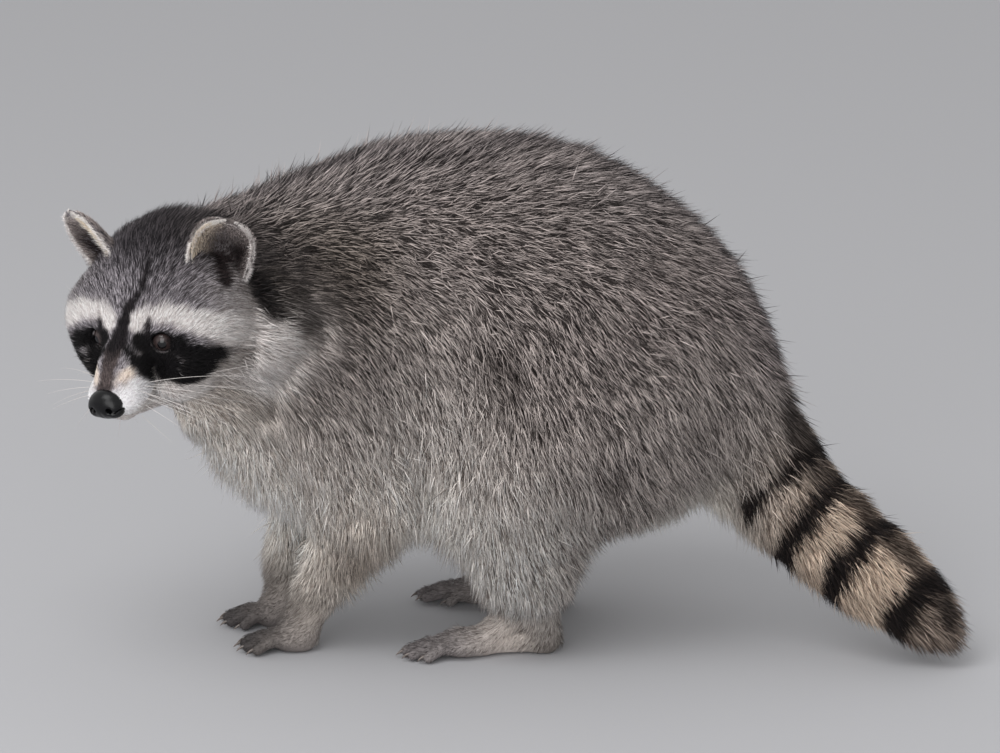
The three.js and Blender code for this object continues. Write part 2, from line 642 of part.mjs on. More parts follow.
function addLeg(raccoon, leg) {
  const [upper, lower, footName] = leg.names;
  const zone = legCutter(leg);
  const { min, max } = zone.boundingBox();
  const box = [
    [min[0], min[1], -FLOOR_MARGIN].map((c) => c - CELL.thigh),
    [max[0], max[1], max[2]].map((c) => c + CELL.thigh),
  ];
  const fine = carve(bodyField, [box[0], [box[1][0], box[1][1], leg.joint.at[2] + 50]], CELL.limb).intersect(zone);
  const coarse = carve(bodyField, box, CELL.thigh).intersect(zone);
  const aboveJoint = cut(coarse, leg.joint.at, leg.joint.normal)[0];
  const behindNeck = keep(aboveJoint, SHOULDER_CUT.at, SHOULDER_CUT.normal);
  raccoon.add(node(upper, behindNeck.subtract(headBall(HEAD_FRAME, GAP)), "greyFur"));

  const belowJoint = cut(fine, leg.joint.at, leg.joint.normal)[1];
  const [shank, ankle] = cut(belowJoint, [0, 0, leg.ankle], [0, 0, 1]);
  raccoon.add(node(lower, shank, "paleFur"));

  const group = new THREE.Group();
  group.position.set(...leg.foot.at, 0);
  group.rotation.z = rad(leg.foot.heading);
  group.updateMatrix();
  group.add(...footPieces(footName, leg.foot, ankle.transform(group.matrix.clone().invert().toArray())));
  raccoon.add(group);
}

/** A foot with its digits as one node, and its claws, in the foot's frame. */
function footPieces(name, foot, ankle) {
  const digits = digitsOf(foot);
  const joined = digits.reduce((sum, d) => sum.add(digit(d)), footBody(foot).add(biggest(ankle)));
  return [
    node(name, joined.trimByPlane([0, 0, 1], 0), "skin"),
    ...digits.map((d, i) => node(`${name}_claw_${i + 1}`, claw(d), "horn")),
  ];
}

// ---- the trunk and tail
const TRUNK_BOX = [
  [-250, -150, 60],
  [235, 150, 385],
];
// The trunk is cut at the shoulders by a plane, and across at two places along X.
const SHOULDER_CUT = { at: [-166, -38, 220], normal: [1, 0.45, -0.1] };
const CHEST_CUT = -62;
const RUMP_CUT = 58;
const TAIL_BOX = [
  [118, -128, -4],
  [318, 70, 215],
];
const TAIL_ROOT = { at: [156, -9, 135], normal: [0.7, -0.26, -0.66] };
const TAIL_CUTS = [2, 3, 4, 5]; // the points of the tail's line where it is parted

function addTrunk(raccoon) {
  const frontAt = vec(NECK_FRONT.at).applyMatrix4(HEAD_FRAME).toArray();
  const frontNormal = vec(NECK_FRONT.normal).transformDirection(HEAD_FRAME).toArray();
  const whole = cut(carve(bodyField, TRUNK_BOX, CELL.trunk), frontAt, frontNormal)[1];
  const headless = whole.subtract(headBall(HEAD_FRAME, GAP));
  const [body, neck] = cut(headless, SHOULDER_CUT.at, SHOULDER_CUT.normal);
  raccoon.add(node("neck", neck, "greyFur"));

  const bare = LEGS.reduce((rest, leg) => rest.subtract(legCutter(leg, GAP)), body);
  const trunk = cut(bare, TAIL_ROOT.at, TAIL_ROOT.normal)[1];
  const [behind, chest] = cut(trunk, [CHEST_CUT, 0, 0], [1, 0, 0]);
  const [rump, barrel] = cut(behind, [RUMP_CUT, 0, 0], [1, 0, 0]);
  raccoon.add(node("chest", chest, "greyFur"));
  raccoon.add(node("barrel", barrel, "greyFur"));
  raccoon.add(node("rump", rump, "greyFur"));
}

function addTail(raccoon) {
  const whole = carve(bodyField, TAIL_BOX, CELL.tail);
  let rest = keep(whole, TAIL_ROOT.at, TAIL_ROOT.normal);
  TAIL_CUTS.forEach((point, i) => {
    const [before, at, after] = [-1, 0, 1].map((step) => vec(TAIL_LINE[point + step].slice(0, 3)));
    const along = after.sub(before).toArray();
    const [outer, length] = cut(rest, at.toArray(), along);
    raccoon.add(node(`tail_${i + 1}`, length, "tanFur"));
    rest = outer;
  });
  raccoon.add(node(`tail_${TAIL_CUTS.length + 1}`, rest, "darkFur"));
}

function build() {
  const raccoon = new THREE.Group();
  const head = new THREE.Group();
  HEAD_FRAME.decompose(head.position, head.quaternion, head.scale);
  head.add(...headPieces());
  raccoon.add(head);
  addTrunk(raccoon);
  addTail(raccoon);
  LEGS.forEach((leg) => addLeg(raccoon, leg));

  // The origin goes under the middle of the whole box, on the floor.
  raccoon.updateMatrixWorld(true);
  const middle = new THREE.Box3().setFromObject(raccoon, true).getCenter(new THREE.Vector3());
  for (const piece of raccoon.children) piece.position.sub(new THREE.Vector3(middle.x, middle.y, 0));
  raccoon.updateMatrixWorld(true);
  return raccoon;
}

export default build();
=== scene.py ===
"""A life-size standing raccoon, dressed for show: skin, a coat of tufts, eyes, nose, claws and whiskers.

Metres, +Z up, the floor at z = 0. The animal faces -X and its left side faces -Y, as the frame does. Small
forms of the head are worked in millimetres in its own frame: forward, left and up from the skull's middle.
"""

from __future__ import annotations

import json
import logging
import math
from collections.abc import Callable, Iterable, Sequence
from dataclasses import dataclass
from enum import Enum

import bpy
import numpy as np
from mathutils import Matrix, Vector

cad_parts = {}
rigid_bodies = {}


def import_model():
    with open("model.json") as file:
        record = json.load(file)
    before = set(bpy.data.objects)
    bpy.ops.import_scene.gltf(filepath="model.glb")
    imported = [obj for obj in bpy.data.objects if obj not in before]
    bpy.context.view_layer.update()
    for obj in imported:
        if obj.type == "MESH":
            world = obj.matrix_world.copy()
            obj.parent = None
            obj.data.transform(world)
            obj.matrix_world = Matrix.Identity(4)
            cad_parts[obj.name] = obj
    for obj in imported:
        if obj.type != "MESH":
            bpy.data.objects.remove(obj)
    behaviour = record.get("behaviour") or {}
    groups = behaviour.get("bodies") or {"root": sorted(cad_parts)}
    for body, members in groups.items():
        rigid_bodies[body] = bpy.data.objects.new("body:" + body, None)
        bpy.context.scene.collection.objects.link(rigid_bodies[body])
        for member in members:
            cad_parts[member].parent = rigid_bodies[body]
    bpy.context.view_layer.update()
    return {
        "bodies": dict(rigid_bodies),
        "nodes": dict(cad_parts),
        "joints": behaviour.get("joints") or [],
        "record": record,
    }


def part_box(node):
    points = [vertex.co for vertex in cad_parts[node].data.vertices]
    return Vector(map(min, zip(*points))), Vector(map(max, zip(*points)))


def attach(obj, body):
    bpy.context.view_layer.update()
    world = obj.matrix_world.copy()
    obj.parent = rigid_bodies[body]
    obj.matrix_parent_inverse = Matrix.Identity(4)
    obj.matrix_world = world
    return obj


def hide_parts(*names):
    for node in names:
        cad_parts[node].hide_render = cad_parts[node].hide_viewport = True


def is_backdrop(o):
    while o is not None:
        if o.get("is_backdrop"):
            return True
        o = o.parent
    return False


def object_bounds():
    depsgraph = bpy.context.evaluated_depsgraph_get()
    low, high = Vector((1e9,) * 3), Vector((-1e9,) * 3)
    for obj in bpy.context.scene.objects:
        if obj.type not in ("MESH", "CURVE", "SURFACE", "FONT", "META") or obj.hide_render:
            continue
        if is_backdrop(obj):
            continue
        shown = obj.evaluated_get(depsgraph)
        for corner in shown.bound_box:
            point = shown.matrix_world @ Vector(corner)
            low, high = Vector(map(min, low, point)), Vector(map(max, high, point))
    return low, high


LOG = logging.getLogger("raccoon")
MM = 0.001
FLOOR_GAP = 0.0006
SIDES = {"left": 1.0, "right": -1.0}
Array = np.ndarray
Piece = bpy.types.Object
Mesh = bpy.types.Mesh
Material = bpy.types.Material
Triple = tuple[float, float, float]
Field = Callable[[Array], Array]


# ---- plain arithmetic
def unit(vectors: Array) -> Array:
    """The vectors at length one."""
    vectors = np.asarray(vectors, float)
    return vectors / np.maximum(np.linalg.norm(vectors, axis=-1, keepdims=True), 1e-12)


def smoothstep(low: float, high: float, x: Array) -> Array:
    """Rises from 0 at low to 1 at high, gently at both ends."""
    t = np.clip((x - low) / (high - low), 0.0, 1.0)
    return t * t * (3.0 - 2.0 * t)


def mix(a: Array, b: Array, share: Array) -> Array:
    """Rows of a turned towards rows of b by each row's share."""
    return a + (b - a) * np.asarray(share)[..., None]


def linear(red: int, green: int, blue: int) -> Array:
    """A colour given in 0 to 255 as it shows, as the linear light that materials take."""
    c = np.array([red, green, blue]) / 255.0
    return np.where(c <= 0.04045, c / 12.92, ((c + 0.055) / 1.055) ** 2.4)


def turning(yaw: float, pitch: float, roll: float = 0.0) -> Array:
    """A turn by roll about the way ahead, then by pitch about the side, then by yaw about the vertical.

    Args:
        yaw: In degrees.
        pitch: In degrees.
        roll: In degrees.

    Returns:
        The turn as a matrix.
    """
    angles = [math.radians(angle) for angle in (yaw, pitch, roll)]
    (cy, cp, cr), (sy, sp, sr) = map(math.cos, angles), map(math.sin, angles)
    about_z = np.array([[cy, -sy, 0], [sy, cy, 0], [0, 0, 1]])
    about_y = np.array([[cp, 0, sp], [0, 1, 0], [-sp, 0, cp]])
    return about_z @ about_y @ np.array([[1, 0, 0], [0, cr, -sr], [0, sr, cr]])


def gather(index: Array, values: Array, size: int) -> Array:
    """Sums rows of values into size bins.

    Args:
        index: The bin of each row.
        values: One row of numbers for each index.
        size: How many bins there are.

    Returns:
        The sums, one row for each bin.
    """
    return np.stack([np.bincount(index, values[:, c], size) for c in range(values.shape[1])], 1)


def wavy(points: Array, wave: float, seed: int) -> Array:
    """A soft random field of three numbers in about -1 to 1, made of a few turned sine waves.

    Args:
        points: Places, in metres.
        wave: The field's shortest wavelength, in metres.
        seed: Which field.

    Returns:
        Three numbers for each place.
    """
    rng = np.random.default_rng(seed)
    total = np.zeros((len(points), 3))
    for scale in (1.0, 1.0, 1.7, 1.7, 2.9, 2.9):
        turn = unit(rng.normal(size=(3, 3))) * (2 * math.pi / (wave * scale))
        total += np.sin(points @ turn.T + rng.uniform(0, 2 * math.pi, 3))
    return total / 3.0


# ---- soft forms
@dataclass(frozen=True)
class Lump:
    """An ellipsoid of flesh in millimetres, turned by pitch and yaw in degrees."""

    at: Triple
    radii: Triple
    soft: float = 14.0
    yaw: float = 0.0
    pitch: float = 0.0

    def distance(self, points: Array) -> Array:
        """About how far each point is outside the lump.

        Args:
            points: Places, in millimetres.

        Returns:
            The distances, negative inside.
        """
        inner = (points - np.array(self.at)) @ turning(self.yaw, self.pitch)
        radii = np.array(self.radii)
        near = np.linalg.norm(inner / radii, axis=1)
        steep = np.linalg.norm(inner / radii**2, axis=1)
        return np.where(steep < 1e-9, -radii.min(), near * (near - 1) / np.maximum(steep, 1e-9))


@dataclass(frozen=True)
class Limb:
    """A tapering rod of flesh in millimetres, from start to end."""

    start: Triple
    end: Triple
    start_radius: float
    end_radius: float
    soft: float = 14.0

    def distance(self, points: Array) -> Array:
        """How far each point is outside the rod.

        Args:
            points: Places, in millimetres.

        Returns:
            The distances, negative inside.
        """
        start, run = np.array(self.start), np.subtract(self.end, self.start)
        t = np.clip((points - start) @ run / (run @ run), 0, 1)
        radius = self.start_radius + (self.end_radius - self.start_radius) * t
        return np.linalg.norm(points - start - t[:, None] * run, axis=1) - radius


def joined(a: Array, b: Array, soft: float) -> Array:
    """The distance to two forms at once, with the crease between them filled over the width soft."""
    h = np.maximum(soft - np.abs(a - b), 0) / soft
    return np.minimum(a, b) - h * h * soft / 4


def cut_by(a: Array, b: Array, soft: float) -> Array:
    """The distance to form a with form b taken out of it, the edge rounded over the width soft."""
    return -joined(-a, b, soft)


def union(forms: Iterable[Lump | Limb], points: Array) -> Array:
    """The distance to several forms, each joined to those before it by its own softness.

    Args:
        forms: The forms.
        points: Places, in millimetres.

    Returns:
        The distances, negative inside.
    """
    total = None
    for form in forms:
        near = form.distance(points)
        total = near if total is None else joined(total, near, form.soft)
    return total


def both_sides(make: Callable[[float], Lump | Limb]) -> list[Lump | Limb]:
    """A form for the left side and its like for the right."""
    return [make(side) for side in SIDES.values()]


def surface_of(distance: Field, low: Triple, high: Triple, cell: float) -> tuple[Array, Array]:
    """Meshes the zero surface of a field inside a box, with one vertex in each cell that it crosses.

    Args:
        distance: The field, negative inside.
        low: The box's lowest corner.
        high: The box's highest corner.
        cell: The side of a cell.

    Returns:
        The vertices and the quads, wound to face outwards.
    """
    axes = [np.arange(a, b + cell, cell) for a, b in zip(low, high)]
    shape = tuple(len(a) for a in axes)
    value = distance(np.stack(np.meshgrid(*axes, indexing="ij"), -1).reshape(-1, 3)).reshape(shape)
    for axis in range(3):
        for end in (0, -1):
            rim = [slice(None)] * 3
            rim[axis] = end
            value[tuple(rim)] = np.maximum(value[tuple(rim)], cell)
    cells = tuple(n - 1 for n in shape)
    total = np.zeros(cells + (3,))
    count = np.zeros(cells)
    crossings = []
    for axis in range(3):
        second, third = (axis + 1) % 3, (axis + 2) % 3
        start = [slice(None)] * 3
        stop = [slice(None)] * 3
        start[axis], stop[axis] = slice(0, -1), slice(1, None)
        a, b = value[tuple(start)], value[tuple(stop)]
        crosses = (a < 0) != (b < 0)
        along = np.where(crosses, a / np.where(crosses, a - b, 1), 0)
        for i in (0, 1):
            for j in (0, 1):
                part = [slice(None)] * 3
                part[second] = slice(i, i + cells[second])
                part[third] = slice(j, j + cells[third])
                hit = crosses[tuple(part)]
                count += hit
                total[..., axis] += along[tuple(part)]
                total[..., second] += hit * i
                total[..., third] += hit * j
        crossings.append((axis, second, third, crosses, a < 0))
    used = count > 0
    number = np.full(cells, -1)
    number[used] = np.arange(used.sum())
    vertices = np.argwhere(used) + total[used] / count[used][:, None]
    quads = []
    for axis, second, third, crosses, outward in crossings:
        at = np.argwhere(crosses)
        inner = (at[:, second] > 0) & (at[:, third] > 0)
        inner &= (at[:, second] < cells[second]) & (at[:, third] < cells[third])
        at = at[inner]
        corners = []
        for i, j in ((-1, -1), (0, -1), (0, 0), (-1, 0)):
            place = at.copy()
            place[:, second] += i
            place[:, third] += j
            corners.append(number[tuple(place.T)])
        quad = np.stack(corners, 1)
        flip = ~outward[tuple(at.T)]
        quad[flip] = quad[flip][:, ::-1]
        quads.append(quad)
    return vertices * cell + np.array(low), np.vstack(quads)


# ---- mesh helpers
def mesh_object(name: str, points: Array, faces: Array | Sequence[Sequence[int]]) -> Piece:
    """A smooth-shaded mesh object at the origin, in the scene.

    Args:
        name: The piece's name.
        points: Its vertices in metres.
        faces: Its faces, all of one size if they are an array.

    Returns:
        The object.
    """
    mesh = bpy.data.meshes.new(name)
    if isinstance(faces, np.ndarray):
        size = faces.shape[1]
        mesh.vertices.add(len(points))
        mesh.vertices.foreach_set("co", np.ascontiguousarray(points, np.float32).ravel())
        mesh.loops.add(faces.size)
        mesh.loops.foreach_set("vertex_index", np.ascontiguousarray(faces, np.int32).ravel())
        mesh.polygons.add(len(faces))
        mesh.polygons.foreach_set("loop_start", np.arange(len(faces), dtype=np.int32) * size)
        mesh.update(calc_edges=True)
    else:
        mesh.from_pydata([tuple(p) for p in points], [], [tuple(f) for f in faces])
        mesh.update()
    mesh.shade_smooth()
    piece = bpy.data.objects.new(name, mesh)
    bpy.context.scene.collection.objects.link(piece)
    return piece


def numbers_of(items: bpy.types.bpy_prop_collection, name: str, width: int, kind: type) -> Array:
    """One number, or one row of them, for each of a mesh's items.

    Args:
        items: The mesh's vertices, edges, loops or triangles.
        name: Which of their values.
        width: How many numbers make a row.
        kind: The numbers' type.

    Returns:
        The rows.
    """
    flat = np.empty(len(items) * width, kind)
    items.foreach_get(name, flat)
    return flat.reshape(-1, width)


def points_of(mesh: Mesh) -> Array:
    """A mesh's vertices, one row each."""
    return numbers_of(mesh.vertices, "co", 3, np.float32).astype(float)


def triangles_of(mesh: Mesh) -> Array:
    """A mesh's triangles as vertex numbers, one row each."""
    mesh.calc_loop_triangles()
    return numbers_of(mesh.loop_triangles, "vertices", 3, np.int32)


def edges_of(mesh: Mesh) -> Array:
    """A mesh's edges as pairs of vertex numbers."""
    return numbers_of(mesh.edges, "vertices", 2, np.int32)


def taken(piece: Piece) -> tuple[Array, Array]:
    """A piece's vertices and triangles; the piece itself doesn't stay."""
    mesh = points_of(piece.data), triangles_of(piece.data)
    bpy.data.objects.remove(piece)
    return mesh


def stacked(parts: Iterable[tuple[Array, Array]]) -> tuple[Array, Array]:
    """Several meshes as one.

    Args:
        parts: The vertices and the faces of each.

    Returns:
        All the vertices and all the faces.
    """
    points, faces, done = [], [], 0
    for more, more_faces in parts:
        points.append(more)
        faces.append(more_faces + done)
        done += len(more)
    return np.vstack(points), np.vstack(faces)


def outward(points: Array, quads: Array) -> Array:
    """Quads as triangles that face outwards.

    Args:
        points: The vertices, about a middle at the origin.
        quads: The quads, all wound one way.

    Returns:
        The triangles.
    """
    triangles = np.vstack([quads[:, :3], quads[:, [0, 2, 3]]])
    a, b, c = (points[triangles[:, i]] for i in range(3))
    return triangles[:, ::-1] if (np.cross(b, c) * a).sum() < 0 else triangles


def normals_at(points: Array, triangles: Array) -> Array:
    """Outward normals at the vertices, weighted by the faces' areas."""
    a, b, c = (points[triangles[:, i]] for i in range(3))
    across = np.cross(b - a, c - a)
    return unit(sum(gather(triangles[:, i], across, len(points)) for i in range(3)))


def relaxed(points: Array, edges: Array, rounds: int, strength: Array | float) -> Array:
    """Moves each vertex towards the middle of its neighbours, several times.

    Args:
        points: The vertices.
        edges: Pairs of neighbours.
        rounds: How many times.
        strength: How far each goes each time, from 0 to 1.

    Returns:
        The moved vertices.
    """
    both = np.vstack([edges, edges[:, ::-1]])
    order = np.argsort(both[:, 0], kind="stable")
    both = both[order]
    starts = np.searchsorted(both[:, 0], np.arange(len(points)))
    degree = np.diff(np.append(starts, len(both)))[:, None]
    share = np.broadcast_to(np.asarray(strength, float).reshape(-1, 1), (len(points), 1))
    for _ in range(rounds):
        middle = np.add.reduceat(points[both[:, 1]], starts, axis=0) / np.maximum(degree, 1)
        points = points + (middle - points) * share
    return points


def merged(points: Array, triangles: Array) -> tuple[Array, Array]:
    """Loose triangles with the vertices that share a place made one."""
    keys, back = np.unique(np.round(points / (0.01 * MM)).astype(np.int64), axis=0, return_inverse=True)
    return keys * (0.01 * MM), back.reshape(-1)[triangles]


def reshaped(piece: Piece, kind: str, settings: dict[str, object]) -> None:
    """Gives a piece the mesh that a modifier makes of it; the modifier doesn't stay.

    Args:
        piece: The object.
        kind: The modifier's type.
        settings: What it is set to, by the names of its own fields.
    """
    modifier = piece.modifiers.new("shape", kind)
    for name, value in settings.items():
        setattr(modifier, name, value)
    old = piece.data
    mesh = bpy.data.meshes.new_from_object(piece.evaluated_get(bpy.context.evaluated_depsgraph_get()))
    piece.modifiers.remove(modifier)
    piece.data = mesh
    bpy.data.meshes.remove(old)


def remade(piece: Piece, voxel: float) -> None:
    """Makes the piece one closed skin of even quads, whatever crosses inside it."""
    reshaped(piece, "REMESH", {"mode": "VOXEL", "voxel_size": voxel})


def set_attribute(mesh: Mesh, name: str, values: Array) -> None:
    """Gives each vertex a number, or a colour where values has rows of three.

    Args:
        mesh: The mesh.
        name: The attribute's name.
        values: One for each vertex.
    """
    values = np.asarray(values, np.float32)
    if values.ndim == 1:
        mesh.attributes.new(name, "FLOAT", "POINT").data.foreach_set("value", values)
        return
    colours = np.ones((len(values), 4), np.float32)
    colours[:, :3] = values
    mesh.attributes.new(name, "FLOAT_COLOR", "POINT").data.foreach_set("color", colours.ravel())


# ---- the animal
class HeadFrame:
    """The head's own frame, found from the eyes and the nose of the frame's solids."""

    eye_at: Triple = (44.5, 22.5, 3.5)
    nose_mean: Triple = (93.7, 0.0, -18.4)

    def __init__(self, frame: dict) -> None:
        """Finds the axes and the origin.
        """
        nodes = frame["nodes"]
        left, self.eye_radius = self.ball_of(nodes["eye_left"])
        right, _ = self.ball_of(nodes["eye_right"])
        nose = np.unique(points_of(nodes["nose"].data).round(6), axis=0).mean(0)
        middle = (left + right) / 2
        side = unit(left - right)
        run = nose - middle
        run = unit(run - side * (run @ side))
        over = np.cross(run, side)
        forward, _, up = np.subtract(self.nose_mean, self.eye_at)
        dip = math.atan2(-up, forward)
        ahead = math.cos(dip) * run + math.sin(dip) * over
        above = math.cos(dip) * over - math.sin(dip) * run
        self.axes = np.stack([ahead, side, above], 1)
        self.origin = middle - self.axes @ (np.array([self.eye_at[0], 0, self.eye_at[2]]) * MM)

    @staticmethod
    def ball_of(node: Piece) -> tuple[Array, float]:
        """The middle and the radius of the ball that a node's vertices lie on.

        Args:
            node: An eye's solid.

        Returns:
            The middle and the radius, in metres.
        """
        points = points_of(node.data)
        rows = np.column_stack([2 * points, np.ones(len(points))])
        solved = np.linalg.lstsq(rows, (points**2).sum(1), rcond=None)[0]
        return solved[:3], float(math.sqrt(solved[3] + solved[:3] @ solved[:3]))

    def local(self, points: Array) -> Array:
        """Places in the world, in metres, as forward, left and up in millimetres."""
        return (np.asarray(points) - self.origin) @ self.axes / MM

    def world(self, points: Array) -> Array:
        """Places in the head's frame, in millimetres, as metres in the world."""
        return np.asarray(points, float) * MM @ self.axes.T + self.origin

    def turned(self, directions: Array) -> Array:
        """Directions in the head's frame as directions in the world."""
        return np.asarray(directions, float) @ self.axes.T


def spot(node: str, share: Triple) -> Array:
    """A place inside a node's box, from its lowest corner at 0 to its highest at 1 on each axis."""
    low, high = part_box(node)
    return np.array(low) + (np.array(high) - np.array(low)) * np.array(share)


def middle_of(node: str) -> Array:
    """The mean of a node's corners."""
    return np.unique(points_of(bpy.data.objects[node].data).round(5), axis=0).mean(0)


# The head's flesh out to the tips of its coat, in the head's frame.
HEAD_MASSES = [
    Lump((-8, 0, 14), (50, 54, 43)),
    Lump((20, 0, 9), (32, 38, 26)),
    *both_sides(lambda s: Lump((16, s * 36, 4), (34, 28, 27), 16, s * 10)),
    Lump((-12, 50, -26), (30, 32, 32), 18, 20),
    Lump((-12, -43, -24), (32, 28, 30), 24, -20),
    *both_sides(lambda s: Lump((32, s * 29, -13), (25, 20, 19), 18, s * 16)),
    *both_sides(lambda s: Lump((28, s * 22, -28), (30, 20, 19))),
    Lump((0, 0, -28), (46, 46, 32), 18),
    *both_sides(lambda s: Lump((34, s * 23, 14), (14, 16, 10), 12, s * 24)),
    Limb((38, 0, 8), (67, 0, -7), 17.5, 14.5),
    Limb((67, 0, -7), (85, 0, -17), 14.5, 11, 8),
    *both_sides(lambda s: Lump((74, s * 8.5, -19), (18, 11.5, 12), 8, s * 10)),
    Limb((28, 0, -37), (77, 0, -29.5), 18, 8.5, 10),
]


# A lid's section, from the edge outwards: how far past the edge, in radians, and how high, in millimetres.
LID_SECTION = (
    (0, 0.1), (0, 0.45), (0.04, 0.75), (0.12, 1.05),
    (0.26, 1.3), (0.45, 1.1), (0.6, 0.3), (0.25, 0.05),
)


@dataclass
class Eye:
    """One eye: where it sits in the head and how its lids open."""

    side: float
    head: HeadFrame
    turn: float = 26.0
    dip: float = 4.0
    half_open: float = 65.0
    corner: float = 19.0

    def __post_init__(self) -> None:
        """Works out the eye's middle and its axes, in the head's frame."""
        forward, left, up = HeadFrame.eye_at
        self.at = np.array([forward, left * self.side, up])
        self.radius = self.head.eye_radius / MM
        turn, dip = math.radians(self.turn * self.side), math.radians(self.dip)
        self.gaze = np.array([math.cos(turn) * math.cos(dip), math.sin(turn) * math.cos(dip), math.sin(dip)])
        self.outer = unit(np.cross([0, 0, 1], self.gaze)) * self.side
        self.over = np.cross(self.gaze, self.outer) * self.side

    def opening(self, turn: Array) -> Array:
        """The angle from the gaze at which the lids' edge lies, at each turn from the outer corner."""
        return np.radians(self.half_open + self.corner * np.abs(np.cos(turn)) ** 3)

    def on_ball(self, turn: Array, angle: Array, radius: Array) -> Array:
        """Places round the eye.

        Args:
            turn: About the gaze, from the outer corner up.
            angle: From the gaze.
            radius: From the eye's middle, in millimetres.

        Returns:
            The places, in the head's frame.
        """
        tilt = math.radians(9.0)
        outer = self.outer * math.cos(tilt) + self.over * math.sin(tilt)
        over = self.over * math.cos(tilt) - self.outer * math.sin(tilt)
        across = np.cos(turn)[..., None] * outer + np.sin(turn)[..., None] * over
        toward = np.cos(angle)[..., None] * self.gaze + np.sin(angle)[..., None] * across
        return self.at + toward * np.asarray(radius)[..., None]

    def ball(self, around: int = 48, rings: int = 40) -> tuple[Array, Array, Array]:
        """The eyeball with its raised cornea.

        Args:
            around: How many vertices a ring has.
            rings: How many bands of faces there are.

        Returns:
            The vertices, the faces, and each vertex's angle from the gaze.
        """
        angles = np.linspace(0, math.pi, rings + 1)
        turns = np.linspace(0, 2 * math.pi, around, endpoint=False)
        angle, turn = np.meshgrid(angles, turns, indexing="ij")
        radius = self.radius + 0.7 * np.exp(-((angle / 0.5) ** 2))
        points = self.on_ball(turn, angle, radius).reshape(-1, 3)
        faces = []
        for ring in range(rings):
            for step in range(around):
                after = (step + 1) % around
                low, high = ring * around, (ring + 1) * around
                faces.append((low + step, high + step, high + after, low + after))
        keys, first, back = np.unique(np.round(points, 5), axis=0, return_index=True, return_inverse=True)
        faces = [tuple(dict.fromkeys(back.reshape(-1)[list(face)].tolist())) for face in faces]
        return keys, [face for face in faces if len(face) > 2], angle.reshape(-1)[first]

    def lids(self, around: int = 64) -> tuple[Array, Array]:
        """The lids as one closed ring round the opening.

        Args:
            around: How many vertices a ring has.

        Returns:
            The vertices, in the head's frame, and the triangles.
        """
        turn = np.linspace(0, 2 * math.pi, around, endpoint=False)
        start = self.opening(turn)
        heights = [np.full(around, self.radius + high) for _, high in LID_SECTION]
        rings = [self.on_ball(turn, start + wide, high) for (wide, _), high in zip(LID_SECTION, heights)]
        points = np.stack(rings).reshape(-1, 3)
        count = len(LID_SECTION)
        number = np.arange(count * around).reshape(count, around)
        after = np.roll(number, -1, 0)
        quads = np.stack([number, np.roll(number, -1, 1), np.roll(after, -1, 1), after], -1).reshape(-1, 4)
        return points, outward(points - self.at, quads)


class Region(Enum):
    """The parts of the coat, each its own pieces."""

    FACE = "face"
    HEAD = "head"
    NECK = "neck"
    CHEST = "chest"
    BARREL = "barrel"
    RUMP = "rump"
    FORELEGS = "forelegs"
    HINDLEGS = "hindlegs"
    FEET = "feet"
    TAIL = "tail"
    EARS = "ears"

    @property
    def number(self) -> int:
        """The region's place in the list of regions."""
        return list(Region).index(self)


@dataclass(frozen=True)
class Shade:
    """The colours of one patch of coat: its light hairs, its dark hairs, and the share that is dark."""

    pale: tuple[int, int, int]
    dark: tuple[int, int, int]
    share: float


BACK = Shade((205, 193, 190), (36, 31, 32), 0.42)
WITHERS = Shade((202, 187, 175), (40, 34, 31), 0.42)
FLANK = Shade((208, 195, 190), (44, 37, 36), 0.38)
SIDE = Shade((228, 216, 210), (56, 48, 46), 0.3)
HAUNCH = Shade((228, 216, 210), (56, 48, 46), 0.3)
UMBER = Shade((64, 55, 48), (22, 18, 16), 0.6)
BREAST = Shade((255, 250, 244), (196, 184, 174), 0.08)
BELLY = Shade((255, 250, 242), (190, 178, 168), 0.08)
SHANK = Shade((255, 249, 243), (110, 98, 92), 0.2)
FOREARM = Shade((230, 219, 209), (130, 118, 109), 0.15)
WRIST = Shade((120, 113, 116), (54, 49, 52), 0.35)
TOES = Shade((52, 49, 52), (21, 18, 20), 0.5)
HIND_TOES = Shade((124, 117, 119), (44, 39, 42), 0.42)
INSTEP = Shade((250, 237, 228), (130, 117, 110), 0.15)
CROWN = Shade((88, 82, 87), (28, 25, 29), 0.58)
BROWS = Shade((204, 197, 203), (48, 43, 48), 0.45)
CHEEK = Shade((255, 250, 247), (196, 184, 178), 0.08)
JOWL = Shade((244, 234, 226), (130, 117, 109), 0.2)
THROAT = Shade((252, 242, 233), (160, 147, 137), 0.14)
FRINGE = Shade((190, 164, 140), (66, 53, 44), 0.42)
TAIL_ROOT = Shade((88, 78, 73), (30, 25, 24), 0.54)
TAIL_PALE = Shade((236, 214, 194), (118, 98, 85), 0.16)


@dataclass(frozen=True)
class Growth:
    """How the coat grows about one place.

    at and lie are in metres and the world's axes; depth, length and reach are in millimetres.
    """

    at: Array
    lie: Array
    depth: float
    length: float
    shade: Shade
    region: Region
    reach: float = 33.0


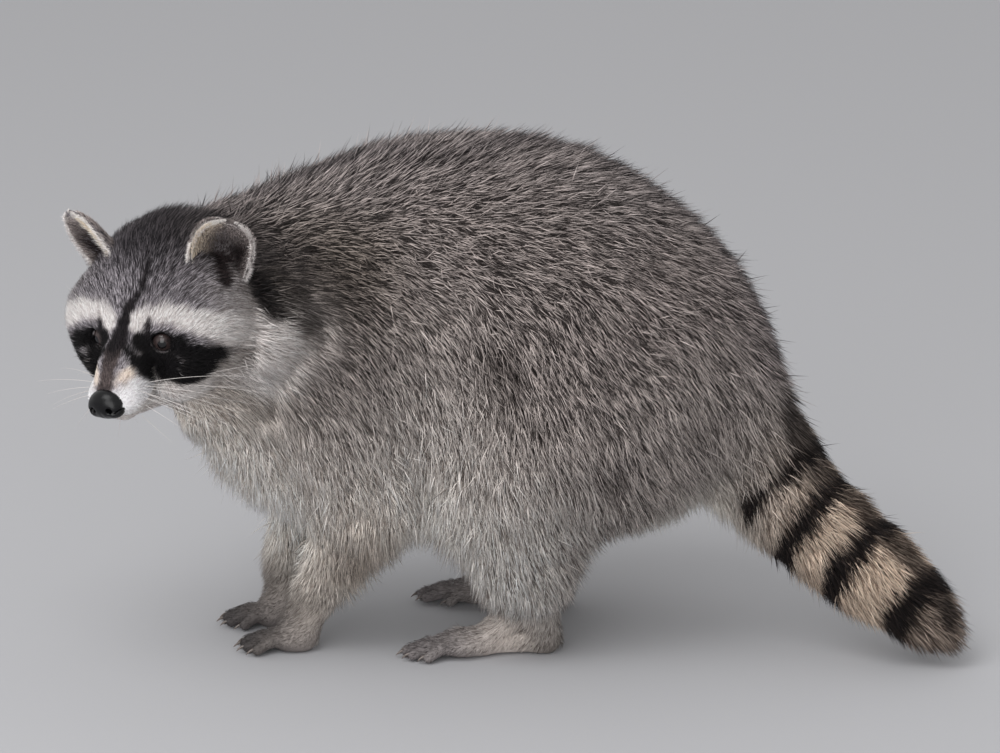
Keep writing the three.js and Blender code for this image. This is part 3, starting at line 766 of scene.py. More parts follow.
# Each row of the body's growth: the node; where in its box, along it, out from its middle to its side and up;
# the way the hair lies, back, outwards and up; depth and length; shade.
TRUNK_GROWTH = {
    Region.NECK: [
        ("neck", 0.55, 0.2, 1, (0.92, 0.1, -0.1), 11.7, 22, BACK),
        ("neck", 0.85, 1, 0.72, (0.9, 0.1, -0.36), 11.7, 22, UMBER),
        ("neck", 0.5, 0.8, 0.3, (0.3, 0.1, -0.95), 9.8, 25, THROAT),
        ("neck", 0.1, 0.3, 0, (0.25, 0, -0.96), 8.5, 25, BREAST),
    ],
    Region.CHEST: [
        ("chest", 0.6, 0, 1, (1, 0, 0.12), 13, 24, BACK),
        ("chest", 0.45, 0.85, 0.74, (0.86, 0.1, -0.5), 13, 22, WITHERS),
        ("chest", 0.15, 0.85, 0.62, (0.75, 0.1, -0.62), 11.7, 22, UMBER),
        ("chest", 0.55, 1, 0.45, (0.55, 0, -0.83), 13, 27, FLANK),
        ("chest", 0.1, 0.45, 0.3, (0.2, 0, -0.98), 10.4, 28, BREAST),
        ("chest", 0.1, 0.3, 0.05, (0.15, 0, -0.98), 10.4, 30, BREAST),
        ("chest", 0.7, 0.3, 0, (0.5, 0, -0.85), 10.4, 30, BELLY),
        ("upper_arm_{side}", 0.55, 0.95, 0.45, (0.38, 0, -0.92), 11.7, 28, SIDE),
        ("upper_arm_{side}", 0.3, 0.95, 0.2, (0.2, 0, -0.98), 10.4, 26, BREAST),
    ],
    Region.BARREL: [
        ("barrel", 0.45, 0, 1, (1, 0, 0.12), 14, 26, BACK),
        ("barrel", 0.5, 0.8, 0.82, (0.93, 0.1, -0.36), 13.7, 23, FLANK),
        ("barrel", 0.35, 1, 0.5, (0.66, 0, -0.75), 14.3, 28, SIDE),
        ("barrel", 0.3, 0.95, 0.3, (0.42, 0, -0.9), 13.7, 30, HAUNCH),
        ("barrel", 0.3, 0.8, 0.1, (0.15, 0, -0.98), 11.7, 31, BELLY),
        ("barrel", 0.5, 0, 0, (0.75, 0, -0.6), 10.4, 28, BELLY),
    ],
    Region.RUMP: [
        ("rump", 0.3, 0, 1, (0.93, 0, -0.35), 13.7, 23, BACK),
        ("rump", 0.4, 0.8, 0.75, (0.66, 0.05, -0.75), 13.7, 24, FLANK),
        ("rump", 0.8, 0.7, 0.6, (0.42, 0, -0.9), 13, 25, FLANK),
        ("rump", 0.97, 0, 0.55, (0.45, 0, -0.88), 12.3, 24, BACK),
        ("rump", 0.75, 0.85, 0.25, (0.3, 0, -0.95), 12.3, 31, HAUNCH),
        ("rump", 0.6, 0, 0, (0.4, 0, -0.9), 9.8, 28, BELLY),
    ],
    Region.HINDLEGS: [
        ("thigh_{side}", 0.45, 1, 0.75, (0.48, 0.05, -0.88), 13, 25, FLANK),
        ("thigh_{side}", 0.35, 1, 0.3, (0.34, 0, -0.94), 11.7, 30, HAUNCH),
        ("thigh_{side}", 0.02, 0.6, 0.3, (0.04, 0, -1), 11.1, 31, SHANK),
        ("thigh_{side}", 0.95, 0.7, 0.3, (0.5, 0, -0.86), 11.1, 31, HAUNCH),
        ("shin_{side}", 0.05, 0.5, 0.7, (0.05, 0, -1), 9.1, 26, SHANK),
        ("shin_{side}", 0.4, 0.9, 0.55, (0.42, 0, -0.9), 9.8, 26, SHANK),
        ("shin_{side}", 0.85, 0.6, 0.7, (0.52, 0, -0.85), 9.8, 26, HAUNCH),
    ],
}
LIMB_GROWTH = {
    Region.HINDLEGS: [
        ("shin_{side}", 0.35, 0.5, 0.1, (0.1, 0, -0.99), 4, 14, SHANK),
        ("shin_{side}", 0.6, 0.5, 0.15, (0.2, 0, -0.98), 5, 20, HAUNCH),
        ("shin_{side}", 0.85, 0.5, 0.12, (0.3, 0, -0.95), 5, 20, UMBER),
    ],
    Region.FORELEGS: [
        ("forearm_{side}", 0.7, 0.7, 0.85, (-0.1, 0, -1), 9, 24, FOREARM),
        ("forearm_{side}", 0.95, 0.6, 0.6, (0, 0, -1), 9, 24, FOREARM),
        ("forearm_{side}", 0.75, 0.6, 0.42, (-0.1, 0, -1), 5, 16, FRINGE),
        ("forearm_{side}", 0.5, 0.7, 0.45, (-0.25, 0, -0.95), 4, 13, FOREARM),
        ("forearm_{side}", 0.3, 0.7, 0.2, (-0.38, 0, -0.92), 2.8, 9, FOREARM),
        ("forearm_{side}", 0.22, 0.6, 0, (-0.42, 0, -0.9), 1.8, 6, FOREARM),
    ],
    Region.FEET: [
        ("forepaw_{side}", 0.8, 0, 0.9, (-0.6, 0, -0.75), 1.3, 4.5, FOREARM),
        ("forepaw_{side}", 0.7, 0, 0.3, (-0.8, 0, -0.2), 0.7, 2.8, WRIST),
        ("forepaw_{side}", 0.4, 0, 0.5, (-1, 0, -0.2), 0.4, 1.8, TOES),
        ("forepaw_{side}", 0, 0, 0.3, (-1, 0, -0.2), 0.3, 1.3, TOES),
        ("hind_foot_{side}", 0.85, 0, 0.9, (-0.5, 0, -0.85), 1.2, 4.5, SHANK),
        ("hind_foot_{side}", 0.97, 0, 0.2, (-0.5, 0, -0.5), 0.8, 3.2, UMBER),
        ("hind_foot_{side}", 0.6, 0, 0.6, (-1, 0, -0.25), 0.8, 3.4, INSTEP),
        ("hind_foot_{side}", 0.35, 0, 0.4, (-1, 0, -0.2), 0.5, 2.2, HIND_TOES),
        ("hind_foot_{side}", 0, 0, 0.3, (-1, 0, -0.2), 0.3, 1.3, HIND_TOES),
    ],
}
# The head's growth: where, in its own frame; how the hair lies, forward, out and up; depth, length; shade.
HEAD_GROWTH = {
    Region.FACE: [
        ((88, 0, -4), (-1, 0, 0.3), 0.8, 3, BROWS),
        ((72, 0, 6), (-1, 0, 0.35), 1.4, 4.5, BROWS),
        ((56, 0, 18), (-0.8, 0, 0.6), 2.2, 6, BROWS),
        ((84, 15, -18), (-1, 0.25, -0.05), 1.4, 4, CHEEK),
        ((68, 21, -14), (-1, 0.35, -0.1), 2, 6, CHEEK),
        ((84, 0, -36), (-1, 0, -0.3), 1.6, 5, CHEEK),
        ((64, 12, -40), (-1, 0.2, -0.4), 3, 8, CHEEK),
        ((55, 33, -22), (-0.85, 0.5, -0.2), 2.6, 7.5, CHEEK),
        ((56, 20, -9), (-0.85, 0.45, -0.1), 1.8, 5, CHEEK),
        ((52, 24, -34), (-0.85, 0.45, -0.4), 3.2, 8.5, CHEEK),
        ((53, 38, 0), (-0.75, 0.65, 0), 2.4, 7, BROWS),
        ((56, 22, 8), (-0.8, 0.5, 0.4), 1.8, 4.5, BROWS),
        ((48, 22, 22), (-0.6, 0.45, 0.68), 3, 8.5, BROWS),
        ((42, 46, 16), (-0.75, 0.6, 0.3), 3.5, 10, BROWS),
    ],
    Region.HEAD: [
        ((38, 0, 36), (-0.7, 0, 0.72), 3.6, 9, BROWS),
        ((30, 26, 36), (-0.75, 0.2, 0.6), 4.2, 10, BROWS),
        ((10, 0, 54), (-0.85, 0, 0.5), 5.5, 12, CROWN),
        ((4, 26, 50), (-0.85, 0.1, 0.45), 5.5, 12, CROWN),
        ((-25, 0, 54), (-0.9, 0, 0.3), 6.4, 17, CROWN),
        ((-40, 20, 40), (-1, 0.2, -0.3), 8.5, 24, CROWN),
        ((26, 58, 12), (-0.8, 0.55, 0.1), 4, 11, BROWS),
        ((16, 44, 34), (-0.5, 0.5, 0.3), 1.5, 4, BROWS),
        ((8, 52, 28), (-0.4, 0.7, -0.3), 1.2, 3.5, BROWS),
        ((10, 62, 14), (-0.5, 0.6, -0.5), 2, 5, CHEEK),
        ((38, 52, -24), (-0.75, 0.6, -0.25), 5.5, 13, CHEEK),
        ((14, 70, -8), (-0.7, 0.6, -0.35), 5.9, 19, CHEEK),
        ((8, 72, -38), (-0.6, 0.55, -0.6), 8.5, 24, CHEEK),
        ((-14, 80, -30), (-0.65, 0.5, -0.55), 9.8, 26, CHEEK),
        ((-34, 70, -6), (-0.85, 0.4, -0.35), 9.8, 26, CROWN),
        ((-30, 62, 24), (-0.9, 0.3, -0.3), 7.2, 20, CROWN),
        ((34, 32, -48), (-0.75, 0.35, -0.6), 6, 15, JOWL),
        ((10, 48, -62), (-0.55, 0.35, -0.78), 7.8, 24, JOWL),
        ((40, 0, -56), (-0.85, 0, -0.55), 6, 14, THROAT),
        ((5, 0, -66), (-0.5, 0, -0.87), 7.2, 24, THROAT),
    ],
}
# The depth and the length of the tail's coat, from its root to its tip.
TAIL_COAT = ((14, 30), (14, 29), (13, 28), (12, 26), (9, 23))
HEAD_REACH = {Region.FACE: 9.0, Region.HEAD: 15.0}
LIMB_REACH = 17.0
TAIL_REACH = 26.0
# How much a region of the head outweighs the regions beside it.
HOLD = {Region.FACE: 3.0, Region.HEAD: 0.7}
# How far the tips of the coat may pass the solids, in metres, at the ends, at the sides and on top.
PAST_ENDS = 0.022
PAST_SIDES = 0.0145
PAST_TOP = 0.017


class Anatomy:
    """Where things are on this animal, read from the frame's boxes."""

    tail_nodes = [f"tail_{i}" for i in range(1, 6)]

    def __init__(self, frame: dict) -> None:
        """Finds the head's frame, the tail's line, the back's line and the growth of the coat.
        """
        self.frame = frame
        low, high = (np.array(corner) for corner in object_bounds())
        self.limits = low - [PAST_ENDS, PAST_SIDES, 0], high + [PAST_ENDS, PAST_SIDES, PAST_TOP]
        self.limits[0][2] = FLOOR_GAP
        self.head = HeadFrame(frame)
        self.eyes = {name: Eye(side, self.head) for name, side in SIDES.items()}
        self.ears = [Ear(SIDES["left"]), FAR_EAR]
        self.tail = self.tail_line()
        self.back = self.back_line()
        self.growth = [*self.body_growth(), *self.tail_growth(), *self.head_growth()]

    def tail_line(self) -> Array:
        """The middle of the tail from its root to its tip.

        Returns:
            The places, in metres.
        """
        middles = [middle_of(name) for name in self.tail_nodes]
        low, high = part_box("tail_5")
        end = np.array([high[0], low[1], low[2]])
        tip = middles[-1] + (end - middles[-1]) * 0.62
        root = middles[0] + (middles[0] - middles[1]) * 0.9
        return np.array([root, *middles, tip])

    def tail_place(self, points: Array) -> tuple[Array, Array, Array, Array]:
        """Where places are on the tail.

        Args:
            points: Places, in metres.

        Returns:
            How far along the tail's line and how far from it each is, in metres, the line's direction, and
            how nearly the place lies straight above the line, from -1 to 1.
        """
        runs = np.diff(self.tail, axis=0)
        lengths = np.linalg.norm(runs, axis=1)
        before = np.concatenate([[0], np.cumsum(lengths)[:-1]])
        best = np.full(len(points), np.inf)
        along, over = np.zeros((2, len(points)))
        way = np.zeros((len(points), 3))
        for start, run, length, done in zip(self.tail[:-1], runs, lengths, before):
            t = np.clip((points - start) @ run / length**2, 0, 1)
            offset = points - start - t[:, None] * run
            away = np.linalg.norm(offset, axis=1)
            nearer = away < best
            best = np.where(nearer, away, best)
            along = np.where(nearer, done + t * length, along)
            above = unit(np.cross(np.cross(run, [0, 0, 1]), run))
            over = np.where(nearer, unit(offset) @ above, over)
            way[nearer] = run / length
        return along, best, way, over

    def back_line(self) -> Array:
        """The highest points of the neck, the trunk and the tail's root, from front to back.

        Returns:
            The places, in metres.
        """
        names = ("neck", "chest", "barrel", "rump", "tail_1")
        points = np.vstack([points_of(self.frame["nodes"][name].data) for name in names])
        edges = np.linspace(points[:, 0].min() + 0.05, points[:, 0].max(), 15)
        tops = []
        for low, high in zip(edges[:-1], edges[1:]):
            inside = points[(points[:, 0] >= low) & (points[:, 0] < high)]
            tops.append(inside[inside[:, 2].argmax()])
        return relaxed(np.array(tops), np.array([[i, i + 1] for i in range(len(tops) - 1)]), 2, 0.5)

    def off_back(self, points: Array) -> Array:
        """How far places are from the line of the back, with height counted for about a third.

        Args:
            points: Places, in metres.

        Returns:
            The distances, in metres.
        """
        best = np.full(len(points), np.inf)
        squash = [1, 1, 0.35]
        points, line = points * squash, self.back * squash
        for start, end in zip(line[:-1], line[1:]):
            run = end - start
            t = np.clip((points - start) @ run / (run @ run), 0, 1)
            best = np.minimum(best, np.linalg.norm(points - start - t[:, None] * run, axis=1))
        return best

    def body_growth(self) -> list[Growth]:
        """The growth of the trunk and the legs, on both sides.

        Returns:
            A growth for each row and side.
        """
        made = []
        for table, reach in ((TRUNK_GROWTH, Growth.reach), (LIMB_GROWTH, LIMB_REACH)):
            for region, rows in table.items():
                for node, along, out, high, lie, depth, length, shade in rows:
                    for name, side in SIDES.items():
                        at = spot(node.format(side=name), (along, 0.5 - 0.5 * side * out, high))
                        way = np.array([lie[0], -side * lie[1], lie[2]])
                        made.append(Growth(at, unit(way), depth, length, shade, region, reach))
        return made

    def head_growth(self) -> list[Growth]:
        """The growth of the head, on both sides, in the world's axes.

        Returns:
            A growth for each row and side.
        """
        made = []
        for region, rows in HEAD_GROWTH.items():
            for at, lie, depth, length, shade in rows:
                for side in SIDES.values():
                    place = self.head.world(np.array([at[0], at[1] * side, at[2]]))
                    way = self.head.turned(np.array([lie[0], lie[1] * side, lie[2]]))
                    made.append(Growth(place, unit(way), depth, length, shade, region, HEAD_REACH[region]))
        return made

    def tail_growth(self) -> list[Growth]:
        """The growth of the tail: back along it, and a little down.

        Returns:
            A growth for each of its solids.
        """
        made = []
        for name, (depth, length) in zip(self.tail_nodes, TAIL_COAT):
            shade = TAIL_ROOT if name == "tail_1" else TAIL_PALE
            at = middle_of(name)
            way = self.tail_place(at[None])[2][0]
            made.append(Growth(at, unit(way + [0, 0, -0.3]), depth, length, shade, Region.TAIL, TAIL_REACH))
        return made


class Coat:
    """What the coat is like at any place, blended from the growth about it."""

    chunk = 40000

    def __init__(self, anatomy: Anatomy) -> None:
        """Keeps the growth as arrays.

        Args:
            anatomy: The animal's places and growth.
        """
        self.anatomy = anatomy
        rows = anatomy.growth
        self.at = np.array([g.at for g in rows])
        self.lie = np.array([g.lie for g in rows])
        self.reach = np.array([g.reach for g in rows]) * MM
        self.numbers = np.array([[g.depth * MM, g.length * MM, g.shade.share] for g in rows])
        self.pale = np.array([linear(*g.shade.pale) for g in rows])
        self.dark = np.array([linear(*g.shade.dark) for g in rows])
        self.regions = np.array([g.region.number for g in rows])
        self.hold = np.array([HOLD.get(g.region, 0.0) for g in rows])

    def weights(self, points: Array) -> Array:
        """Each growth's share at each place, the shares of a place adding to one.

        Args:
            points: Places, in metres.

        Returns:
            A row for each place, with a column for each growth.
        """
        away = (points**2).sum(1)[:, None] + (self.at**2).sum(1) - 2 * points @ self.at.T
        power = self.hold - 0.5 * away / self.reach**2
        power = np.exp(power - power.max(1, keepdims=True))
        return power / power.sum(1, keepdims=True)

    def at_places(self, points: Array) -> dict[str, Array]:
        """The coat at places.

        Args:
            points: Places, in metres.

        Returns:
            The lie, depth, length, share, pale, dark and region, by name.
        """
        parts = []
        for start in range(0, len(points), self.chunk):
            share = self.weights(points[start : start + self.chunk])
            blends = [share @ values for values in (self.lie, self.numbers, self.pale, self.dark)]
            parts.append((*blends, share.argmax(1)))
        lie, numbers, pale, dark, leader = (np.concatenate(p) for p in zip(*parts))
        found = {"lie": unit(lie), "pale": pale, "dark": dark, "region": self.regions[leader]}
        found["depth"], found["length"], found["share"] = numbers.T
        return found


# ---- the ears
@dataclass(frozen=True)
class Ear:
    """One ear: a rounded cup of skin, in millimetres, set on the head."""

    side: float
    at: Triple = (-0.5, 45.8, 31.3)
    height: float = 45.5
    width: float = 43.0
    depth: float = 16.0
    sink: float = 1.0
    wall: float = 1.7
    splay: float = 30.0
    turn: float = 34.0
    lean: float = -7.0
    slant: float = 0.34

    def placed(self, points: Array) -> Array:
        """Points of the ear's own frame in the head's frame."""
        turn = turning(self.side * self.turn, -self.lean, -self.side * self.splay)
        return points @ turn.T + np.array([self.at[0], self.side * self.at[1], self.at[2]])

    def face(self, inset: float, u: Array, v: Array) -> Array:
        """Places on the ear's back, or inset from it.

        Args:
            inset: How far in, in millimetres.
            u: Across, from -1 to 1.
            v: Up, from 0 to 1.

        Returns:
            The places, in the head's frame.
        """
        rise = v * 1.135 - 0.1
        half = self.width / 2 * np.sqrt(np.maximum(1 - np.abs((rise - 0.42) / 0.62) ** 2.6, 0.02))
        angle = u * math.pi / 2
        cup = self.depth * (1 - 0.72 * v) * np.sqrt(np.maximum(1 - v**6, 0))
        hollow = np.maximum(cup - inset, 1.2 - inset * 0.2)
        x = -hollow * np.cos(angle) + inset * 0.2
        y = (half - inset * 0.75) * np.sin(angle)
        z = self.height * (rise - 0.18) - inset * v - self.slant * self.side * y * (1 - 0.6 * v)
        return self.placed(np.stack([x, y, z], -1))

    def shell(self, across: int = 30, up: int = 24) -> tuple[Array, Array]:
        """The ear as a closed shell.

        Args:
            across: How many faces it has across.
            up: How many it has up.

        Returns:
            The vertices, in the head's frame, and the triangles.
        """
        u, v = np.meshgrid(np.linspace(-1, 1, across + 1), np.linspace(0, 1, up + 1), indexing="ij")
        layers = [self.face(inset, u, v) for inset in (self.sink, self.sink + self.wall)]
        points = np.concatenate([layer.reshape(-1, 3) for layer in layers])
        number = np.arange(points.shape[0]).reshape(2, across + 1, up + 1)
        quads = []
        for layer, flip in ((0, False), (1, True)):
            n = number[layer]
            quad = np.stack([n[:-1, :-1], n[1:, :-1], n[1:, 1:], n[:-1, 1:]], -1).reshape(-1, 4)
            quads.append(quad[:, ::-1] if flip else quad)
        for rim, flip in (((0, slice(None)), True), ((-1, slice(None)), False)):
            quads.append(self.edge(number[0][rim], number[1][rim], flip))
        for rim, flip in (((slice(None), 0), False), ((slice(None), -1), True)):
            quads.append(self.edge(number[0][rim], number[1][rim], flip))
        return points, outward(points, np.vstack(quads))

    @staticmethod
    def edge(outer: Array, inner: Array, flip: bool) -> Array:
        """The quads that join two rows of vertices."""
        quad = np.stack([outer[:-1], inner[:-1], inner[1:], outer[1:]], -1)
        return quad[:, ::-1] if flip else quad


# The far ear is turned more to the side and stands taller.
FAR_EAR = Ear(
    SIDES["right"], (5.0, 37.0, 29.5), height=55.0, width=41.0, splay=25.0, turn=20.0, slant=0.0
)


# ---- the feet
def claw_line(solid: Array) -> tuple[Array, Array, Array, float]:
    """The middle of a claw's root, half way and tip, and its thickness.

    Args:
        solid: The solid's corners.

    Returns:
        Those places and the thickness, in the unit of the corners.
    """
    corners = np.unique(solid.round(6), axis=0)
    run = np.linalg.svd(corners - corners.mean(0))[2][0]
    run = run * (-np.sign(run[0]) or 1)
    base, middle, tip = (corners[part] for part in np.array_split(np.argsort(corners @ run), 3))
    thick = np.linalg.norm(base - base.mean(0), axis=1).mean()
    return base.mean(0), middle.mean(0), tip.mean(0), thick


def claw_nodes(frame: dict, foot: str) -> list[str]:
    """The names of a foot's claws, in order."""
    return sorted(name for name in frame["nodes"] if name.startswith(f"{foot}_claw_"))


@dataclass(frozen=True)
class Foot:
    """One foot as soft forms about its claws, its heel and the leg above, in the world's millimetres."""

    claws: Array
    heel: Array
    ankle: Array
    leg: Array
    knuckle: float
    palm: Triple
    wrist: tuple[float, float]

    @classmethod
    def of(cls, name: str, frame: dict) -> Foot:
        """The foot of that name, measured from its solid, its claws and the leg it stands under.

        Args:
            name: The foot's node.

        Returns:
            The foot.
        """
        nodes = frame["nodes"]
        solid = points_of(nodes[name].data) / MM
        top = solid[solid[:, 2] > solid[:, 2].max() - 6].mean(0)
        back = solid[(solid[:, 0] > solid[:, 0].max() - 12) & (solid[:, 2] < 20)].mean(0)
        claws = [claw_line(points_of(nodes[claw].data) / MM)[0] for claw in claw_nodes(frame, name)]
        leg = middle_of(name.replace("forepaw", "forearm").replace("hind_foot", "shin")) / MM
        if name.startswith("forepaw"):
            return cls(np.array(claws), back, top, leg, 25.0, (13.0, 13.5, 7.0), (9.0, 10.8))
        return cls(np.array(claws), back, top, leg, 29.0, (18.0, 14.5, 7.5), (9.5, 14.0))

    def forms(self) -> list[Lump | Limb]:
        """The palm, the heel, the way up to the leg, and the toes.

        Returns:
            The forms, in millimetres.
        """
        front = self.claws.mean(0)
        back = self.heel + [-9.0, 0, 0]
        way = unit(front - back)
        yaw = math.degrees(math.atan2(way[1], way[0]))
        palm = front - way * (self.knuckle + 1.0)
        palm[2] = self.palm[2] + 0.8
        low = np.array([*back[:2], 8.0])
        neck = self.ankle + unit(self.leg - self.ankle) * 13
        rear = low + [1.0, 0, 2.0]
        made = [
            Lump(tuple(palm), self.palm, 6, yaw),
            Limb(tuple(palm), tuple(low), self.palm[2], 7.4, 7),
            Limb(tuple(rear), tuple(neck), *self.wrist, 9),
            Limb(tuple(mix(palm, low, 0.25) + [0, 0, 2.0]), tuple(mix(rear, neck, 0.75)), 6.5, 9.0, 9),
        ]
        for claw in self.claws:
            root = claw - unit(claw - palm) * min(self.knuckle, np.linalg.norm(claw - palm) * 0.8)
            root[2] = 8.6
            joint = mix(root, claw, 0.52)
            joint[2] = 7.8
            tip = claw + [1.2, 0, 0]
            tip[2] = 4.3
            made.append(Limb(tuple(root), tuple(joint), 4.4, 4.0, 2.6))
            made.append(Limb(tuple(joint), tuple(tip), 4.0, 3.4, 1.4))
        return made

    def distance(self, points: Array) -> Array:
        """How far places are outside the foot, which is flat where it stands."""
        return np.maximum(union(self.forms(), points), 0.5 - points[:, 2])


# ---- the skin
@dataclass
class Skin:
    """The one skin under the coat: trunk, legs and tail from the frame's flesh, and a finer head and feet."""

    anatomy: Anatomy
    coat: Coat
    body_voxel: float = 3.0
    foot_voxel: float = 0.8
    head_cell: float = 1.3
    skin_voxel: float = 1.4
    grow: float = 0.6
    head_sink: float = 7.0
    foot_share: float = 0.3
    broad_share: float = 0.26
    main_triangles: int = 0

    def flesh(self) -> list[str]:
        """The names of the nodes that the skin stands for."""
        hard = ("eye_", "claw_", "nose")
        return sorted(n for n in self.anatomy.frame["nodes"] if not any(h in n for h in hard))

    def gathered(self, names: Sequence[str], grow: float) -> tuple[Array, Array]:
        """The solids of some nodes as one list of triangles, each grown a little so that neighbours cross.

        Args:
            names: The nodes.
            grow: How far each is grown, in millimetres.

        Returns:
            The vertices and the triangles.
        """
        parts = []
        for name in names:
            mesh = self.anatomy.frame["nodes"][name].data
            points, triangles = merged(points_of(mesh), triangles_of(mesh))
            parts.append((points + normals_at(points, triangles) * grow * MM, triangles))
        return stacked(parts)

    def body(self) -> tuple[Array, Array]:
        """The trunk, legs and tail, smoothed and drawn in by the coat's depth.

        Returns:
            The vertices, in metres, and the quads.
        """
        apart = ("muzzle", "lower_jaw", "ear_", "forepaw_", "hind_foot_")
        names = [n for n in self.flesh() if not n.startswith(apart)]
        piece = mesh_object("body_form", *self.gathered(names, self.grow))
        remade(piece, self.body_voxel * MM)
        points, edges, triangles = points_of(piece.data), edges_of(piece.data), triangles_of(piece.data)
        found = self.coat.at_places(points)
        in_head = np.isin(found["region"], [Region.HEAD.number, Region.FACE.number])
        strength = np.full(len(points), 0.5)
        strength[found["region"] == Region.FORELEGS.number] = 0.12
        strength = relaxed(strength[:, None], edges, 6, 0.5)[:, 0]
        points = relaxed(points, edges, 26, strength)
        depth = found["depth"] + in_head * self.head_sink * MM
        depth = relaxed(depth[:, None], edges, 10, 0.5)
        normals = relaxed(normals_at(points, triangles), edges, 6, 0.5)
        points = points - unit(normals) * (depth + self.grow * MM)
        points = relaxed(points, edges, 3, strength)
        quads = numbers_of(piece.data.loops, "vertex_index", 1, np.int32).reshape(-1, 4)
        bpy.data.objects.remove(piece)
        return points, quads

    def feet(self) -> tuple[Array, Array]:
        """The paws and hind feet as closed forms of their own, finer than the rest.

        Returns:
            The vertices, in metres, and the triangles.
        """
        parts = []
        for name in Claws.feet:
            foot = Foot.of(name, self.anatomy.frame)
            low, high = (np.array(corner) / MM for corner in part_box(name))
            low, high = tuple(low - [9, 9, 2]), tuple(high + [16, 9, 34])
            points, quads = surface_of(foot.distance, low, high, self.foot_voxel)
            parts.append((points * MM, quads))
        piece = mesh_object("feet_form", *stacked(parts))
        reshaped(piece, "DECIMATE", {"ratio": self.foot_share})
        return taken(piece)

    def skull_distance(self, local: Array) -> Array:
        """The head's skin: the coat's outline drawn in by its depth, with eye sockets, mouth and ear beds.

        Args:
            local: Places in the head's frame.

        Returns:
            The distances, negative inside.
        """
        out = union(HEAD_MASSES, local)
        near = out < 12
        depth = np.full(len(local), 6.0)
        depth[near] = self.coat.at_places(self.anatomy.head.world(local[near]))["depth"] / MM
        skin = out + depth
        for eye in self.anatomy.eyes.values():
            rim = Lump(tuple(eye.at), (eye.radius + 2.6,) * 3).distance(local)
            skin = joined(skin, rim, 5.0)
            skin = cut_by(skin, Lump(tuple(eye.at), (eye.radius + 0.6,) * 3).distance(local), 0.8)
            mouth = tuple(eye.at + eye.gaze * (eye.radius + 2.0))
            skin = cut_by(skin, Lump(mouth, (8.3,) * 3).distance(local), 2.0)
        for side in SIDES.values():
            corner = (52, side * 21, -34)
            lips = Limb((91, side * 3, -27.5), corner, 1.0, 0.8)
            skin = cut_by(skin, lips.distance(local), 2.2)
            ear_bed = Limb((-5, side * 47, 38), (13, side * 62, 41), 11.5, 15)
            skin = cut_by(skin, ear_bed.distance(local), 4.0)
        lip_cleft = Limb((95, 0, -22), (90, 0, -29), 1.0, 0.9)
        return cut_by(skin, lip_cleft.distance(local), 2.0)

    def skull(self) -> tuple[Array, Array]:
        """The head's skin as vertices and quads in the world."""
        points, quads = surface_of(self.skull_distance, (-62, -86, -88), (98, 86, 64), self.head_cell)
        return self.anatomy.head.world(points), quads

    def build(self) -> Piece:
        """Joins the body and the head into one closed skin, and adds the feet, the ears and the lids.

        Returns:
            The skin.
        """
        piece = mesh_object("skin_form", *stacked([self.body(), self.skull()]))
        remade(piece, self.skin_voxel * MM)
        LOG.info("skin form: %d faces", len(piece.data.polygons))
        self.thinned(piece)
        main = [taken(piece), self.feet()]
        self.main_triangles = sum(len(triangles) for _, triangles in main)
        small = [ear.shell() for ear in self.anatomy.ears]
        small += [eye.lids() for eye in self.anatomy.eyes.values()]
        small = [(self.anatomy.head.world(points), triangles) for points, triangles in small]
        points, triangles = stacked(main + small)
        LOG.info("skin: %d triangles", len(triangles))
        return mesh_object("skin", points, triangles)

    def thinned(self, piece: Piece) -> None:
        """Takes faces out of the broad smooth parts, and leaves the face fine.

        Args:
            piece: The skin's form.
        """
        region = self.coat.at_places(points_of(piece.data))["region"]
        group = piece.vertex_groups.new(name="broad")
        group.add(np.nonzero(region != Region.FACE.number)[0].tolist(), 1.0, "REPLACE")
        settings = {"ratio": self.broad_share, "vertex_group": "broad", "vertex_group_factor": 1.0}
        reshaped(piece, "DECIMATE", settings)


# ---- the markings
@dataclass(frozen=True)
class Mark:
    """A patch of colour on the coat: forms in millimetres, a shade, the blur of its edge and its strength."""

    forms: tuple
    shade: Shade
    blur: float
    strength: float = 1.0

    def weight(self, points: Array) -> Array:
        """How strongly the mark shows at each place, 0 to 1."""
        away = np.min([form.distance(points) for form in self.forms], axis=0)
        return self.strength * (1 - smoothstep(-self.blur / 2, self.blur / 2, away))


def chain(points: Sequence[Triple], radius: float, end_radius: float) -> tuple[Limb, ...]:
    """Rods from point to point, their radius running evenly from one size to another.

    Args:
        points: The ends of the rods, in millimetres.
        radius: The radius at the first end.
        end_radius: The radius at the last end.

    Returns:
        The rods.
    """
    sizes = np.linspace(radius, end_radius, len(points))
    return tuple(Limb(a, b, ra, rb) for a, b, ra, rb in zip(points[:-1], points[1:], sizes[:-1], sizes[1:]))


def mirrored(points: Sequence[Triple], side: float) -> list[Triple]:
    """The points on the side asked for, given those of the left."""
    return [(f, l * side, u) for f, l, u in points]


WHITE = Shade((244, 239, 237), (200, 190, 188), 0.13)
CREAM = Shade((244, 237, 234), (175, 166, 162), 0.15)
BLACK = Shade((23, 20, 22), (11, 9, 11), 0.5)
# Painted shade for the hollow where each ear meets the head.
EAR_ROOT_SHADE = Shade((70, 58, 58), (30, 24, 25), 0.5)
COAL = Shade((46, 40, 39), (18, 15, 15), 0.55)
STREAK = Shade((50, 44, 47), (22, 19, 22), 0.5)
BRIDGE = Shade((112, 100, 98), (56, 48, 49), 0.42)
NOSE_BED = Shade((60, 54, 58), (24, 22, 25), 0.6)
MUZZLE = Shade((250, 248, 250), (215, 208, 210), 0.1)
TAN = Shade((246, 232, 220), (200, 180, 166), 0.12)
RING = Shade((54, 45, 42), (22, 17, 17), 0.55)
TAIL_TIP = Shade((192, 174, 160), (78, 66, 60), 0.4)
SADDLE = Shade((122, 114, 116), (34, 30, 32), 0.55)
# Painted shade, laid in the fold and the hollow where the haunch meets the flank.
SHADOW = Shade((110, 98, 93), (40, 34, 32), 0.5)


